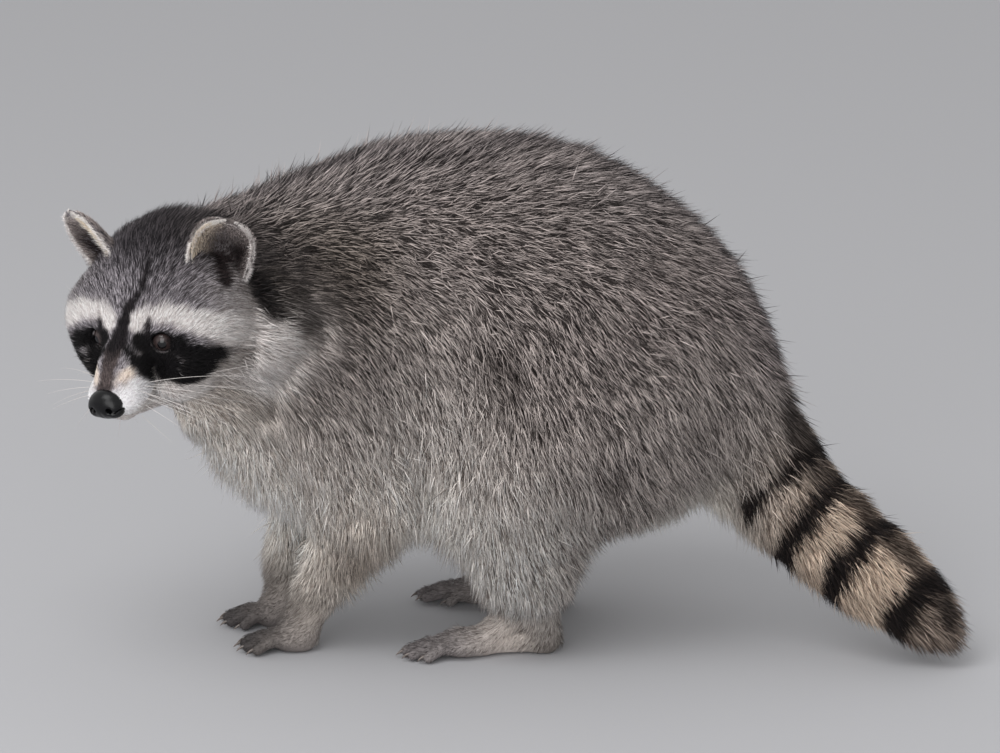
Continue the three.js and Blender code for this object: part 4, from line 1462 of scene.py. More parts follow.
# The marks of either side of the head, in the order in which they are laid. Each has its line, given for the
# left side, its radius at the two ends, its shade, its edge's blur and, where it isn't full, its strength.
SIDE_MARKS = {
    "nape": ([(-24, 70, 12), (-25, 78, -8), (-24, 84, -26)], 9, 9, UMBER, 10, 0.6),
    "cheek_top": ([(22, 66, -4), (8, 67, -10), (-2, 72, -14)], 11, 11, CREAM, 8),
    # Painted shade in the hollow at the ear's root.
    "ear_root": ([(-8, 44, 31), (4, 54, 25)], 7, 6, EAR_ROOT_SHADE, 5),
    "brow": (
        [(52, 11, 21), (49, 19, 27), (46, 31, 26), (42, 46, 20), (36, 58, 11), (27, 66, 3), (14, 74, -6)],
        6.5, 10.0, WHITE, 6,
    ),
    "ruff": ([(14, 76, -8), (4, 81, -22), (0, 83, -38), (12, 68, -52)], 15, 17, CREAM, 12),
    "behind_ear": ([(-14, 62, 32), (-15, 66, 14), (-10, 73, 1), (-9, 77, -8)], 10, 6.5, COAL, 6),
    "under_mask": ([(70, 20, -24), (56, 32, -34), (42, 46, -40), (20, 60, -46)], 10, 13, CREAM, 9),
    "muzzle": ([(90, 9, -20), (76, 15, -16), (66, 20, -16)], 10, 8, MUZZLE, 5),
    "muzzle_top": ([(86, 9, -4), (79, 11, -2), (74, 14, -3)], 3.6, 3.2, TAN, 4),
    "mask": (
        [(57, 14, 9), (52, 26, 7), (49, 38, 4), (45, 47, -4), (36, 55, -14), (31, 58, -22)],
        7, 9, BLACK, 4,
    ),
    "mask_edge": (
        [(61, 16, -4), (58, 23, -13), (51, 36, -18), (42, 49, -22), (30, 59, -24)],
        6.5, 8.5, BLACK, 4,
    ),
    "mask_middle": ([(57, 18, -4), (53, 32, -8), (46, 45, -10), (36, 56, -16)], 7.5, 8.5, BLACK, 4),
    "over_eye": ([(52, 18.5, 14), (48.5, 20, 25)], 2.6, 1.4, STREAK, 2.5),
    "beside_nose": ([(66, 8, 6), (67, 14, -1), (63, 17, -8), (57, 22, -15)], 4.2, 7.0, BLACK, 4),
}
MIDDLE_MARKS = {
    "chin": ([(88, 0, -36), (66, 0, -44), (40, 0, -54)], 12, 16, CREAM, 8),
    "bridge": ([(63.5, 0.5, 13), (80, 0.3, 3), (92, 0, -6)], 6.0, 6.5, BRIDGE, 4),
    "bridge_top": ([(54, 1.5, 21), (63.5, 0.5, 13)], 4.6, 7.2, STREAK, 3.5),
    "bridge_fade": ([(63.5, 0.5, 13), (72, 0.4, 8)], 7.0, 4.0, STREAK, 5, 0.7),
    "stripe": (
        [(18, 11, 51), (30, 11, 41.5), (38, 9, 35.4), (46, 5, 29.4), (54, 1.5, 21)],
        2.4, 4.0, STREAK, 2.6,
    ),
    "nose_bed": ([(94, 0, -6), (97, 0, -12)], 5, 8, NOSE_BED, 4),
}


class Markings:
    """The coat's colours at any place: the growth's own shades with the raccoon's marks laid over them."""

    head_radius = 125
    rings = ((0.165, 5.0, 0.45), (0.281, 7.0, 1.0), (0.444, 7.5, 1.0), (0.636, 8.0, 1.0), (0.877, 10.0, 1.0))

    def __init__(self, anatomy: Anatomy, coat: Coat) -> None:
        """Makes the marks of the head and the body.

        Args:
            anatomy: The animal's places.
            coat: The growth's own shades.
        """
        self.anatomy = anatomy
        self.coat = coat
        self.head_marks = self.made_head_marks()
        self.body_marks = self.made_body_marks()

    @staticmethod
    def made_head_marks() -> list[Mark]:
        """The mask, the brows, the stripe and the muzzle, in the head's frame.

        Returns:
            The marks of the left side, of the right side and of the middle.
        """
        marks = []
        for side in SIDES.values():
            for points, radius, end_radius, *look in SIDE_MARKS.values():
                marks.append(Mark(chain(mirrored(points, side), radius, end_radius), *look))
        for points, radius, end_radius, *look in MIDDLE_MARKS.values():
            marks.append(Mark(chain(points, radius, end_radius), *look))
        return marks

    def made_body_marks(self) -> list[Mark]:
        """Dark streaks of painted shade where the haunch meets the flank, in the world's millimetres, on both
        sides.

        Returns:
            The marks.
        """
        middle = (spot("barrel", (0.5, 0.5, 0.5)) / MM)[1]
        out = (spot("barrel", (0.5, 0.5, 0.5)) - spot("barrel", (0.5, 0, 0.5)))[1] / MM
        marks = []
        for side in SIDES.values():
            y = middle - side * out
            fold = [(-12, y, 212), (0, y, 186), (22, y + side * 4, 158)]
            marks.append(Mark(chain(fold, 11, 8), SHADOW, 22, 0.6))
            hollow = [(34, y + side * 6, 146), (60, y + side * 4, 132)]
            marks.append(Mark(chain(hollow, 6, 9), SHADOW, 16, 0.7))
        return marks

    def tail_dark(self, points: Array) -> tuple[Array, Array]:
        """How dark the tail's rings and upper edge are at each place, and how much of it is the tip.

        Args:
            points: Places, in metres.

        Returns:
            The two shares, from 0 to 1.
        """
        along, _, _, over = self.anatomy.tail_place(points)
        length = np.linalg.norm(np.diff(self.anatomy.tail, axis=0), axis=1).sum()
        place = along + wavy(points, 0.02, 5)[:, 0] * 2.0 * MM
        dark = 0.75 * smoothstep(0.82, 0.97, over)
        for middle, width, strength in self.rings:
            gap = np.abs(place - middle * length)
            dark = np.maximum(dark, strength * (1 - smoothstep(width * MM * 0.75, width * MM * 1.3, gap)))
        return dark, smoothstep(length * 0.9, length * 0.95, place)

    def shades(self, points: Array, ragged: float = 1.0) -> dict[str, Array]:
        """The coat at places with its marked colours.

        Args:
            points: Places in the world, in metres.
            ragged: How far the marks' edges wander, in millimetres.

        Returns:
            What Coat.at_places gives, with pale, dark and share as marked.
        """
        found = self.coat.at_places(points)
        strayed = points + wavy(points, 0.007, 11) * ragged * MM
        back = self.anatomy.off_back(strayed)
        self.lay(found, SADDLE, 0.6 * (1 - smoothstep(0.004, 0.022, back)) * (points[:, 0] > -0.2))
        for mark in self.body_marks:
            self.lay(found, mark.shade, mark.weight(strayed / MM))
        tail = found["region"] == Region.TAIL.number
        dark, tip = np.zeros((2, len(points)))
        dark[tail], tip[tail] = self.tail_dark(strayed[tail])
        self.lay(found, TAIL_TIP, tip)
        self.lay(found, RING, dark)
        local = self.anatomy.head.local(strayed)
        near = np.linalg.norm(local, axis=1) < self.head_radius
        for mark in self.head_marks:
            weight = np.zeros(len(points))
            weight[near] = mark.weight(local[near])
            self.lay(found, mark.shade, weight)
        return found

    @staticmethod
    def lay(found: dict[str, Array], shade: Shade, weight: Array) -> None:
        """Turns the colours found towards a shade by each place's weight."""
        found["pale"] = mix(found["pale"], linear(*shade.pale), weight)
        found["dark"] = mix(found["dark"], linear(*shade.dark), weight)
        found["share"] = found["share"] + (shade.share - found["share"]) * weight


# ---- the coat
@dataclass(frozen=True)
class Style:
    """How the tufts of a region are made: how many to a square millimetre, how wide, how gathered."""

    crowd: float
    width: float
    cell: float
    gather: float
    stray: float


STYLES = {
    Region.FACE: Style(1.9, 0.42, 1.8, 0.15, 0.12),
    Region.HEAD: Style(1.45, 0.55, 2.6, 0.35, 0.18),
    Region.NECK: Style(0.48, 0.84, 4.2, 0.42, 0.3),
    Region.CHEST: Style(0.46, 0.84, 4.6, 0.42, 0.3),
    Region.BARREL: Style(0.48, 0.84, 4.6, 0.42, 0.3),
    Region.RUMP: Style(0.48, 0.84, 4.6, 0.42, 0.3),
    Region.FORELEGS: Style(0.8, 0.75, 4.0, 0.3, 0.16),
    Region.HINDLEGS: Style(0.47, 0.86, 5.0, 0.42, 0.26),
    Region.FEET: Style(0.75, 0.38, 2.0, 0.1, 0.1),
    Region.TAIL: Style(0.8, 0.95, 4.4, 0.35, 0.2),
    Region.EARS: Style(2.4, 0.4, 2.0, 0.1, 0.14),
}
TRUNK = (Region.NECK, Region.CHEST, Region.BARREL, Region.RUMP)
# Where along a tuft its ring of corners lies, and how many corners that has.
RING_SHARE = 0.42
RING_CORNERS = 3
PIECE_TUFTS = 32000
# The side of a tuft's patch on the unwrap.
PATCH = 0.003
# More than the number of cells that the coat has along any axis.
KEY_BASE = 8192
EAR_GREY = Shade((200, 188, 184), (96, 86, 85), 0.35)
EAR_DARK = Shade((58, 46, 46), (24, 18, 19), 0.5)
EAR_TAN = Shade((238, 224, 204), (178, 158, 134), 0.15)


class Fur:
    """Grows the coat's tufts over a skin, region by region."""

    eye_bare = 11.2
    eye_bare_turn = 78
    ear_tufts = {"back": 2600, "hollow": 4400, "rim": 3000}

    def __init__(self, skin: Piece, main_triangles: int, markings: Markings, seed: int = 7) -> None:
        """Takes the skin's triangles.

        Args:
            skin: The skin to grow on.
            main_triangles: How many of its triangles come before the ears and the lids.
            markings: The coat's shapes and colours.
            seed: The start of the random numbers.
        """
        self.markings = markings
        self.anatomy = markings.anatomy
        self.rng = np.random.default_rng(seed)
        points, triangles = points_of(skin.data), triangles_of(skin.data)
        self.corners = points[triangles]
        self.normals = normals_at(points, triangles)[triangles]
        cross = np.cross(self.corners[:, 1] - self.corners[:, 0], self.corners[:, 2] - self.corners[:, 0])
        self.areas = np.linalg.norm(cross, axis=1) / 2
        self.region = markings.coat.at_places(self.corners.mean(1))["region"]
        self.region[main_triangles:] = -1

    def bare(self, points: Array, normals: Array) -> Array:
        """Where nothing grows: the lids and eyes, the nose's bed and the soles.

        Args:
            points: Places on the skin.
            normals: Its normals there.

        Returns:
            True where nothing grows.
        """
        local = self.anatomy.head.local(points)
        none = (points[:, 2] < 0.006) & (normals[:, 2] < -0.3)
        for eye in self.anatomy.eyes.values():
            run = local - eye.at
            away = np.linalg.norm(run, axis=1)
            ahead = (run @ eye.gaze) / np.maximum(away, 1e-6)
            none |= (away < self.eye_bare) & (ahead > math.cos(math.radians(self.eye_bare_turn)))
        none |= np.linalg.norm((local - [94, 0, -18]) / [7, 12, 11], axis=1) < 1
        return none

    def roots(self, region: Region) -> tuple[Array, Array]:
        """Evenly scattered places on the skin for a region's tufts.

        Args:
            region: The region.

        Returns:
            The places and the normals.
        """
        style = STYLES[region]
        mine = np.nonzero(self.region == region.number)[0]
        edges = np.cumsum(self.areas[mine])
        count = int(edges[-1] / MM**2 * style.crowd)
        picks = (np.arange(count) + self.rng.random(count)) / count * edges[-1]
        chosen = mine[np.minimum(np.searchsorted(edges, picks), len(mine) - 1)]
        a, b = self.rng.random((2, count))
        over = a + b > 1
        a[over], b[over] = 1 - a[over], 1 - b[over]
        share = np.stack([1 - a - b, a, b], 1)[:, :, None]
        points = (self.corners[chosen] * share).sum(1)
        normals = unit((self.normals[chosen] * share).sum(1))
        keep = ~self.bare(points, normals)
        return points[keep], normals[keep]

    def ear_roots(self) -> tuple[Array, Array, dict[str, Array]]:
        """The hair of the ears: a back dark towards its base, a hollow darker still with painted shade, pale
        fringes and a white rim.

        Returns:
            The roots, their normals and the coat there.
        """
        parts = []
        for ear in self.anatomy.ears:
            insets = {"back": ear.sink, "hollow": ear.sink + ear.wall, "rim": ear.sink + 0.8}
            for layer, inset in insets.items():
                parts.append(self.ear_part(ear, inset, self.ear_tufts[layer], float(layer == "rim")))
        root, normal = (np.concatenate([part[i] for part in parts]) for i in (0, 1))
        names = parts[0][2].keys()
        return root, normal, {name: np.concatenate([part[2][name] for part in parts]) for name in names}

    def ear_part(
        self, ear: Ear, inset: float, count: int, rim: float
    ) -> tuple[Array, Array, dict[str, Array]]:
        """One layer of an ear's hair.

        Args:
            ear: The ear.
            inset: Which face of the shell it grows on.
            count: How many tufts.
            rim: 1 for the fringe along the edge, 0 for the face.

        Returns:
            The roots, their normals and the coat there.
        """
        rng = self.rng
        u, v = rng.uniform(-1, 1, count), rng.uniform(0.05, 0.95, count)
        if rim:
            lap = rng.uniform(-1, 1, count)
            u = np.clip(lap / 0.06, -1, 1)
            v = 1 - 0.95 * np.maximum(np.abs(lap) / 0.94 - 0.06 / 0.94, 0) ** 1.8
        step = 0.02
        at = ear.face(inset, u, v)
        across = ear.face(inset, u + step, v) - ear.face(inset, u - step, v)
        rise = ear.face(inset, u, v + step) - ear.face(inset, u, v - step)
        inside = 1.0 if inset > ear.sink else 0.0
        normal = unit(np.cross(across, rise)) * (1 - 2 * inside)
        hollow = ear.face(ear.sink + ear.wall, u * 0, v) - ear.face(ear.sink, u * 0, v)
        flip = np.sign((normal * hollow).sum(1) * (2 * inside - 1))
        normal = normal * np.where(flip == 0, 1, flip)[:, None]
        lie = unit(rise) + unit(across) * (u * 0.9)[:, None]
        edge = np.maximum(smoothstep(0.8, 0.97, np.abs(u)), smoothstep(0.88, 0.99, v))
        front = smoothstep(0.0, 0.7, -u * ear.side) * inside
        if rim:
            middle = ear.face(inset, np.zeros(1), np.full(1, 0.45))
            lie = unit(at - middle) + 0.35 * unit(lie)
            short = 1 - 0.6 * (1 - smoothstep(0.08, 0.3, np.abs(lap)))
        tall = (1 - 0.3 * edge) * (1 - 0.7 * smoothstep(0.7, 1.0, v))
        length = (6.5 + 4.0 * front) * tall if not rim else rng.uniform(3.0, 5.4, count) * short
        depth = (1.6 + 0.8 * front) * (1 - 0.5 * edge) if not rim else rng.uniform(-1.6, 1.6, count)
        # Darker towards the ear's base: on the back this is the ear's own dark colour, and in the hollow it
        # is mostly painted shade.
        dark_base_and_hollow_shade = (1 - smoothstep(0.5, 0.92, v)) * (0.35 + 0.65 * inside)
        found = {"lie": unit(lie), "length": length * MM, "depth": depth * MM}
        found["pale"] = np.repeat(linear(*EAR_GREY.pale)[None], count, 0)
        found["dark"] = np.repeat(linear(*EAR_GREY.dark)[None], count, 0)
        found["share"] = np.full(count, EAR_GREY.share)
        Markings.lay(found, EAR_DARK, dark_base_and_hollow_shade * (1 - front))
        Markings.lay(found, EAR_GREY, 0.8 * smoothstep(0.45, 0.8, u * ear.side) * inside)
        Markings.lay(found, EAR_TAN, front * 0.9)
        Markings.lay(found, WHITE, np.maximum(edge, rim) * 0.85)
        head = self.anatomy.head
        found["lie"] = head.turned(found["lie"])
        return head.world(at), head.turned(normal), found

    def shaped(self, region: Region) -> dict[str, Array]:
        """The tufts of a region as arrays.

        Args:
            region: The region.

        Returns:
            Root, ring middle, tip, sideways, up, width and marked coat, by name.
        """
        style = STYLES[region]
        rng = self.rng
        if region is Region.EARS:
            root, normal, found = self.ear_roots()
        else:
            root, normal = self.roots(region)
            found = self.markings.coat.at_places(root)
        count = len(root)
        lie = found["lie"] + wavy(root, 0.035, 3) * 0.16 + wavy(root, 0.009, 4) * 0.12
        lie = lie + rng.normal(size=(count, 3)) * style.stray
        facing = (unit(lie) * normal).sum(1, keepdims=True)
        lie = unit(lie - normal * np.minimum(facing, 0.0) - normal * np.maximum(facing, 0.0) * 0.25)
        out = np.clip(facing[:, 0], 0, 1)
        length = found["length"] * rng.uniform(0.72, 1.12, count)
        rise = 1 + 0.5 * (1 - smoothstep(0.015, 0.06, self.anatomy.off_back(root))) * (region in TRUNK)
        height = found["depth"] * rise * rng.uniform(0.6, 1.2, count) * (1 - 0.85 * out)
        height = np.minimum(height, 0.62 * length)
        run = np.sqrt(length**2 - height**2)
        tip = root + lie * run[:, None] + normal * height[:, None]
        tip = self.bunched(root, tip, style)
        ring = root + (tip - root) * RING_SHARE
        ring = ring + normal * (height * 0.24)[:, None]
        across = unit(np.cross(tip - root, normal))
        over = unit(np.cross(across, tip - root))
        width = style.width * MM * rng.uniform(0.65, 1.15, count)
        ring, tip = (np.clip(points, *self.anatomy.limits) for points in (ring, tip))
        place = root + (tip - root) * 0.7
        marked = found if region is Region.EARS else self.markings.shades(place)
        return {"root": root - normal * 0.4 * MM, "ring": ring, "tip": tip, "across": across, "over": over,
                "width": width, "marked": marked}

    def bunched(self, root: Array, tip: Array, style: Style) -> Array:
        """The tips of tufts that stand close together, drawn towards each other in locks.

        Args:
            root: The tufts' roots.
            tip: Their tips.
            style: The region's style.

        Returns:
            The moved tips.
        """
        cell = style.cell * MM
        bent = root + wavy(root, cell * 5, 8) * cell * 0.5
        keys = np.floor(bent / cell).astype(np.int64)
        keys = (keys[:, 0] * KEY_BASE + keys[:, 1]) * KEY_BASE + keys[:, 2]
        _, index = np.unique(keys, return_inverse=True)
        size = index.max() + 1
        many = np.maximum(np.bincount(index, minlength=size), 1)[:, None]
        lean = gather(index, tip - root, size) / many
        middle = gather(index, root, size) / many
        goal = middle[index] + lean[index]
        return mix(tip, goal, self.rng.uniform(0.3, 1.0, len(root)) * style.gather)

    def piece(self, name: str, tufts: dict[str, Array], pick: Array, material: Material) -> Piece:
        """One mesh of tufts.

        Args:
            name: The piece's name.
            tufts: What shaped() gave.
            pick: Which of the tufts.
            material: The coat's finish.

        Returns:
            The piece.
        """
        root, ring, tip = (tufts[k][pick] for k in ("root", "ring", "tip"))
        across, over, width = (tufts[k][pick] for k in ("across", "over", "width"))
        count = len(root)
        each = RING_CORNERS + 2
        points = np.empty((count, each, 3))
        points[:, 0] = root
        points[:, -1] = tip
        for corner in range(RING_CORNERS):
            turn = 2 * math.pi * corner / RING_CORNERS + math.pi / 2
            side = across * math.cos(turn) + over * math.sin(turn) * 0.6
            points[:, 1 + corner] = ring + side * (width / 2)[:, None]
        faces = []
        for corner in range(RING_CORNERS):
            after = 1 + (corner + 1) % RING_CORNERS
            faces.append((0, after, 1 + corner))
            faces.append((each - 1, 1 + corner, after))
        base = np.arange(count)[:, None, None] * each
        triangles = (base + np.array(faces)[None]).reshape(-1, 3)
        piece = mesh_object(name, points.reshape(-1, 3), triangles)
        self.colour(piece.data, {k: v[pick] for k, v in tufts["marked"].items()}, each)
        self.unwrap(piece.data, root, len(faces))
        piece.data.materials.append(material)
        LOG.info("%s: %d tufts", name, count)
        return piece

    def colour(self, mesh: Mesh, marked: dict[str, Array], each: int) -> None:
        """Colours each tuft's corners: dark at the root, then the hair's own, with darker tips on some.

        Args:
            mesh: The tufts' mesh.
            marked: The coat at each tuft.
            each: A tuft's corners.
        """
        count = len(marked["share"])
        rng = self.rng
        is_dark = rng.random(count) < marked["share"]
        calm = 1 - smoothstep(0.08, 0.3, marked["share"])[:, None]
        tone = 0.64 + 0.14 * calm + (0.63 - 0.16 * calm) * rng.random((count, 1))
        own = np.where(is_dark[:, None], marked["dark"], marked["pale"]) * tone
        root = mix(marked["dark"], marked["pale"], 0.3 + 0.45 * (1 - smoothstep(0.08, 0.3, marked["share"])))
        tipped = rng.random(count) < 0.9 * marked["share"]
        tip = np.where(tipped[:, None], marked["dark"], own * 1.08)
        colours = np.empty((count, each, 3))
        colours[:, 0] = root
        colours[:, 1:-1] = mix(own, root, np.full(count, 0.2))[:, None]
        colours[:, -1] = tip
        set_attribute(mesh, "coat", np.clip(colours, 0, 1).reshape(-1, 3))

    def unwrap(self, mesh: Mesh, root: Array, faces: int) -> None:
        """Lays each tuft as a small patch at its root's place on an unwrap of the skin round its long axis.

        Args:
            mesh: The tufts' mesh.
            root: The tufts' roots.
            faces: The number of triangles in a tuft.
        """
        count = len(root)
        middle = root.mean(0)
        spread = np.linalg.eigh(np.cov((root - middle).T))[1]
        inner = (root - middle) @ spread
        turn = np.arctan2(inner[:, 0], inner[:, 1])
        columns = int(math.ceil(math.sqrt(count)))
        order = np.argsort(turn)
        u = np.empty(count)
        v = np.empty(count)
        for column in range(columns):
            mine = order[column * count // columns : (column + 1) * count // columns]
            mine = mine[np.argsort(inner[mine, 2])]
            u[mine] = (column + 0.5) / columns
            v[mine] = (np.arange(len(mine)) + 0.5) / (len(mine) + 1)
        low = [[0.0, -0.5], [0.5, 0.0], [-0.5, 0.0]]
        high = [[0.0, 0.5], [-0.5, 0.0], [0.5, 0.0]]
        corners = PATCH * np.array([low, high] * (faces // 2))
        layer = mesh.uv_layers.new(name="OFBake")
        spots = np.stack([u, v], 1)[:, None, None] + corners[None]
        layer.data.foreach_set("uv", np.clip(spots, 0, 1).astype(np.float32).ravel())

    def grow(self, material: Material) -> list[Piece]:
        """Grows every region's pieces.

        Args:
            material: The coat's finish.

        Returns:
            The pieces.
        """
        pieces = []
        for region in Region:
            tufts = self.shaped(region)
            count = len(tufts["root"])
            parts = max(1, math.ceil(count / PIECE_TUFTS))
            order = np.argsort(tufts["root"][:, 1] + 0.1 * tufts["root"][:, 0])
            for part in range(parts):
                pick = order[part * count // parts : (part + 1) * count // parts]
                pieces.append(self.piece(f"fur_{region.value}_{part + 1}", tufts, pick, material))
        return pieces


# ---- the finishes
@dataclass(frozen=True)
class Finish:
    """A plain finish made from nodes."""

    name: str
    roughness: float
    colour: tuple[int, int, int] = (128, 128, 128)
    attribute: str = ""
    bump: float = 0.0
    bump_scale: float = 600.0
    gloss: float = 0.0
    specular: float = 0.5

    def made(self) -> Material:
        """Makes the finish's nodes.

        Returns:
            The material.
        """
        material = bpy.data.materials.new(self.name)
        material.use_nodes = True
        nodes, links = material.node_tree.nodes, material.node_tree.links
        shader = nodes["Principled BSDF"]
        shader.inputs["Roughness"].default_value = self.roughness
        shader.inputs["Base Color"].default_value = (*linear(*self.colour), 1)
        shader.inputs["Specular IOR Level"].default_value = self.specular
        shader.inputs["Coat Weight"].default_value = self.gloss
        shader.inputs["Coat Roughness"].default_value = 0.05
        if self.attribute:
            colour = nodes.new("ShaderNodeAttribute")
            colour.attribute_name = self.attribute
            links.new(colour.outputs["Color"], shader.inputs["Base Color"])
        if self.bump:
            place = nodes.new("ShaderNodeTexCoord")
            noise = nodes.new("ShaderNodeTexNoise")
            noise.inputs["Scale"].default_value = self.bump_scale
            noise.inputs["Detail"].default_value = 3.0
            relief = nodes.new("ShaderNodeBump")
            relief.inputs["Strength"].default_value = self.bump
            relief.inputs["Distance"].default_value = 0.001
            links.new(place.outputs["Object"], noise.inputs["Vector"])
            links.new(noise.outputs["Fac"], relief.inputs["Height"])
            links.new(relief.outputs["Normal"], shader.inputs["Normal"])
        return material


def tinted_skin(skin: Piece, markings: Markings) -> None:
    """Colours the skin with the coat's markings, dark under long fur and full where the fur is short.

    Painted shade darkens the creases of the feet, and a painted glint lights the wet lower rim of the lids.

    Args:
        skin: The skin.
        markings: The coat's shapes and colours.
    """
    points = points_of(skin.data)
    found = markings.shades(points)
    short = 1 - smoothstep(6 * MM, 22 * MM, found["length"])
    full = mix(found["pale"], found["dark"], found["share"])
    under = mix(found["dark"], full, 0.45 + 0.55 * short)
    # Painted shade: the skin of the feet is darkened where it curves inwards, in the creases between the toes
    # and pads.
    drawn = relaxed(points, edges_of(skin.data), 5, 0.5) - points
    hollow = (drawn * normals_at(points, triangles_of(skin.data))).sum(1) / MM
    on_foot = (found["region"] == Region.FEET.number) * (points[:, 2] > 0.001)
    under = mix(under, linear(24, 20, 21), 0.85 * on_foot * smoothstep(0.06, 0.3, hollow))
    local = markings.anatomy.head.local(points)
    for eye in markings.anatomy.eyes.values():
        run = local - eye.at
        away = np.linalg.norm(run, axis=1)
        under = mix(under, linear(14, 12, 14), 1 - smoothstep(11, 12, away))
        angle = np.degrees(np.arccos(np.clip(run @ eye.gaze / np.maximum(away, 1e-6), -1, 1)))
        # Painted glint: a pale line on the lids' lower rim, beside the eyeball, stands for the light that the
        # wet edge reflects.
        wet = (away < eye.radius + 1.2) & (angle < eye.half_open + eye.corner + 4) & (run @ eye.over < 2.5)
        under = mix(under, linear(186, 178, 180), wet.astype(float))
    set_attribute(skin.data, "coat", np.clip(under, 0, 1))


# ---- the hard parts
class EyePieces:
    """The two eyeballs."""

    def __init__(self, anatomy: Anatomy) -> None:
        """Keeps the animal's places."""
        self.anatomy = anatomy

    def build(self) -> None:
        """Makes both, each in place of its solid."""
        finish = self.finish()
        for name, eye in self.anatomy.eyes.items():
            points, faces, angle = eye.ball()
            piece = mesh_object(f"eyeball_{name}", self.anatomy.head.world(points), faces)
            self.colour(piece.data, angle)
            piece.data.materials.append(finish)
            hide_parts(f"eye_{name}")
            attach(piece, "root")

    @staticmethod
    def colour(mesh: Mesh, angle: Array) -> None:
        """Black pupil, dark brown iris, a darker ring round it and a brown white of the eye.

        Args:
            mesh: The eyeball's mesh.
            angle: Each vertex's angle from the gaze.
        """
        pupil, iris, rim, white = (linear(*c) for c in ((6, 6, 8), (58, 48, 47), (11, 9, 10), (52, 45, 45)))
        colours = mix(np.repeat(pupil[None], len(angle), 0), iris[None], smoothstep(0.32, 0.4, angle))
        colours = mix(colours, rim[None], smoothstep(0.8, 0.92, angle))
        set_attribute(mesh, "coat", mix(colours, white[None], smoothstep(1.0, 1.12, angle)))

    @staticmethod
    def finish() -> Material:
        """The wet finish of the eyes."""
        return Finish("eye_wet", 0.04, attribute="coat", specular=0.5).made()


class Nose:
    """The nose pad with its nostrils and its cleft."""

    at: Triple = (91.0, 0.0, -17.5)
    radii: Triple = (9.2, 12.2, 10.2)

    def __init__(self, anatomy: Anatomy) -> None:
        """Keeps the animal's places."""
        self.anatomy = anatomy

    def distance(self, local: Array) -> Array:
        """How far places are outside the nose.

        Args:
            local: Places in the head's frame.

        Returns:
            The distances, negative inside.
        """
        pad = Lump(self.at, self.radii, pitch=10.0).distance(local)
        for side in SIDES.values():
            pad = joined(pad, Lump((91.5, side * 7.2, -19.5), (7.2, 5.2, 6.2)).distance(local), 3.0)
        for side in SIDES.values():
            hole = Limb((101, side * 6.4, -18.4), (91, side * 5.2, -17.0), 2.4, 1.2)
            slit = Limb((98, side * 8.6, -19.6), (91, side * 12.8, -18.4), 1.0, 0.8)
            pad = cut_by(pad, joined(hole.distance(local), slit.distance(local), 1.5), 1.4)
        cleft = Limb((103, 0, -16.0), (96.5, 0, -28), 0.7, 0.9)
        return cut_by(pad, cleft.distance(local), 1.2)

    def build(self) -> None:
        """Makes the nose in place of its solid."""
        points, quads = surface_of(self.distance, (79, -15, -31), (103, 15, -5), 0.5)
        piece = mesh_object("nose_pad", self.anatomy.head.world(points), quads)
        grain = {"bump": 0.16, "bump_scale": 1400.0}
        finish = Finish("nose_leather", 0.24, (9, 9, 11), gloss=0.06, specular=0.26, **grain)
        piece.data.materials.append(finish.made())
        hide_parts("nose")
        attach(piece, "root")


class Claws:
    """Curved claws for each foot, on the lines of their solids."""

    feet = ("forepaw_left", "forepaw_right", "hind_foot_left", "hind_foot_right")

    def __init__(self, frame: dict) -> None:
        """Keeps the frame."""
        self.frame = frame

    def build(self) -> None:
        """Makes one piece for each foot."""
        finish = Finish("horn", 0.35, (104, 94, 88), gloss=0.3).made()
        for foot in self.feet:
            names = claw_nodes(self.frame, foot)
            points, faces = [], []
            for name in names:
                p, f = self.claw(points_of(self.frame["nodes"][name].data))
                faces.extend([tuple(i + sum(map(len, points)) for i in face) for face in f])
                points.append(p)
            piece = mesh_object(f"claws_{foot}", np.vstack(points), faces)
            piece.data.materials.append(finish)
            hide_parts(*names)
            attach(piece, "root")

    @staticmethod
    def claw(solid: Array, rings: int = 9, around: int = 10) -> tuple[Array, list[tuple[int, ...]]]:
        """A smooth claw along the middle of a solid's three rings of corners.

        Args:
            solid: The solid's corners.
            rings: How many rings the claw has.
            around: How many corners a ring has.

        Returns:
            The vertices and the faces.
        """
        base, middle, tip, thick = claw_line(solid)
        t = np.linspace(-0.25, 0.9, rings)[:, None]
        line = base * (1 - t) * (1 - 2 * t) + 4 * middle * t * (1 - t) + tip * t * (2 * t - 1)
        ahead = unit(np.gradient(line, axis=0))
        side = unit(np.cross(ahead, [0, 0, 1]))
        over = np.cross(side, ahead)
        size = thick * np.clip(0.9 - t, 0.02, 1) ** 0.62
        turn = np.linspace(0, 2 * math.pi, around, endpoint=False)
        ring = side[:, None] * (np.cos(turn) * 0.72)[:, None] + over[:, None] * np.sin(turn)[:, None]
        points = (line[:, None] + ring * size[:, None]).reshape(-1, 3)
        faces = [tuple(range(around)), tuple(range((rings - 1) * around, rings * around))[::-1]]
        for row in range(rings - 1):
            for step in range(around):
                after = (step + 1) % around
                low, high = row * around, (row + 1) * around
                faces.append((low + after, low + step, high + step, high + after))
        a, b, c = (points[[f[i] for f in faces]] - points.mean(0) for i in range(3))
        if (np.cross(b, c) * a).sum() < 0:
            faces = [face[::-1] for face in faces]
        return points, faces


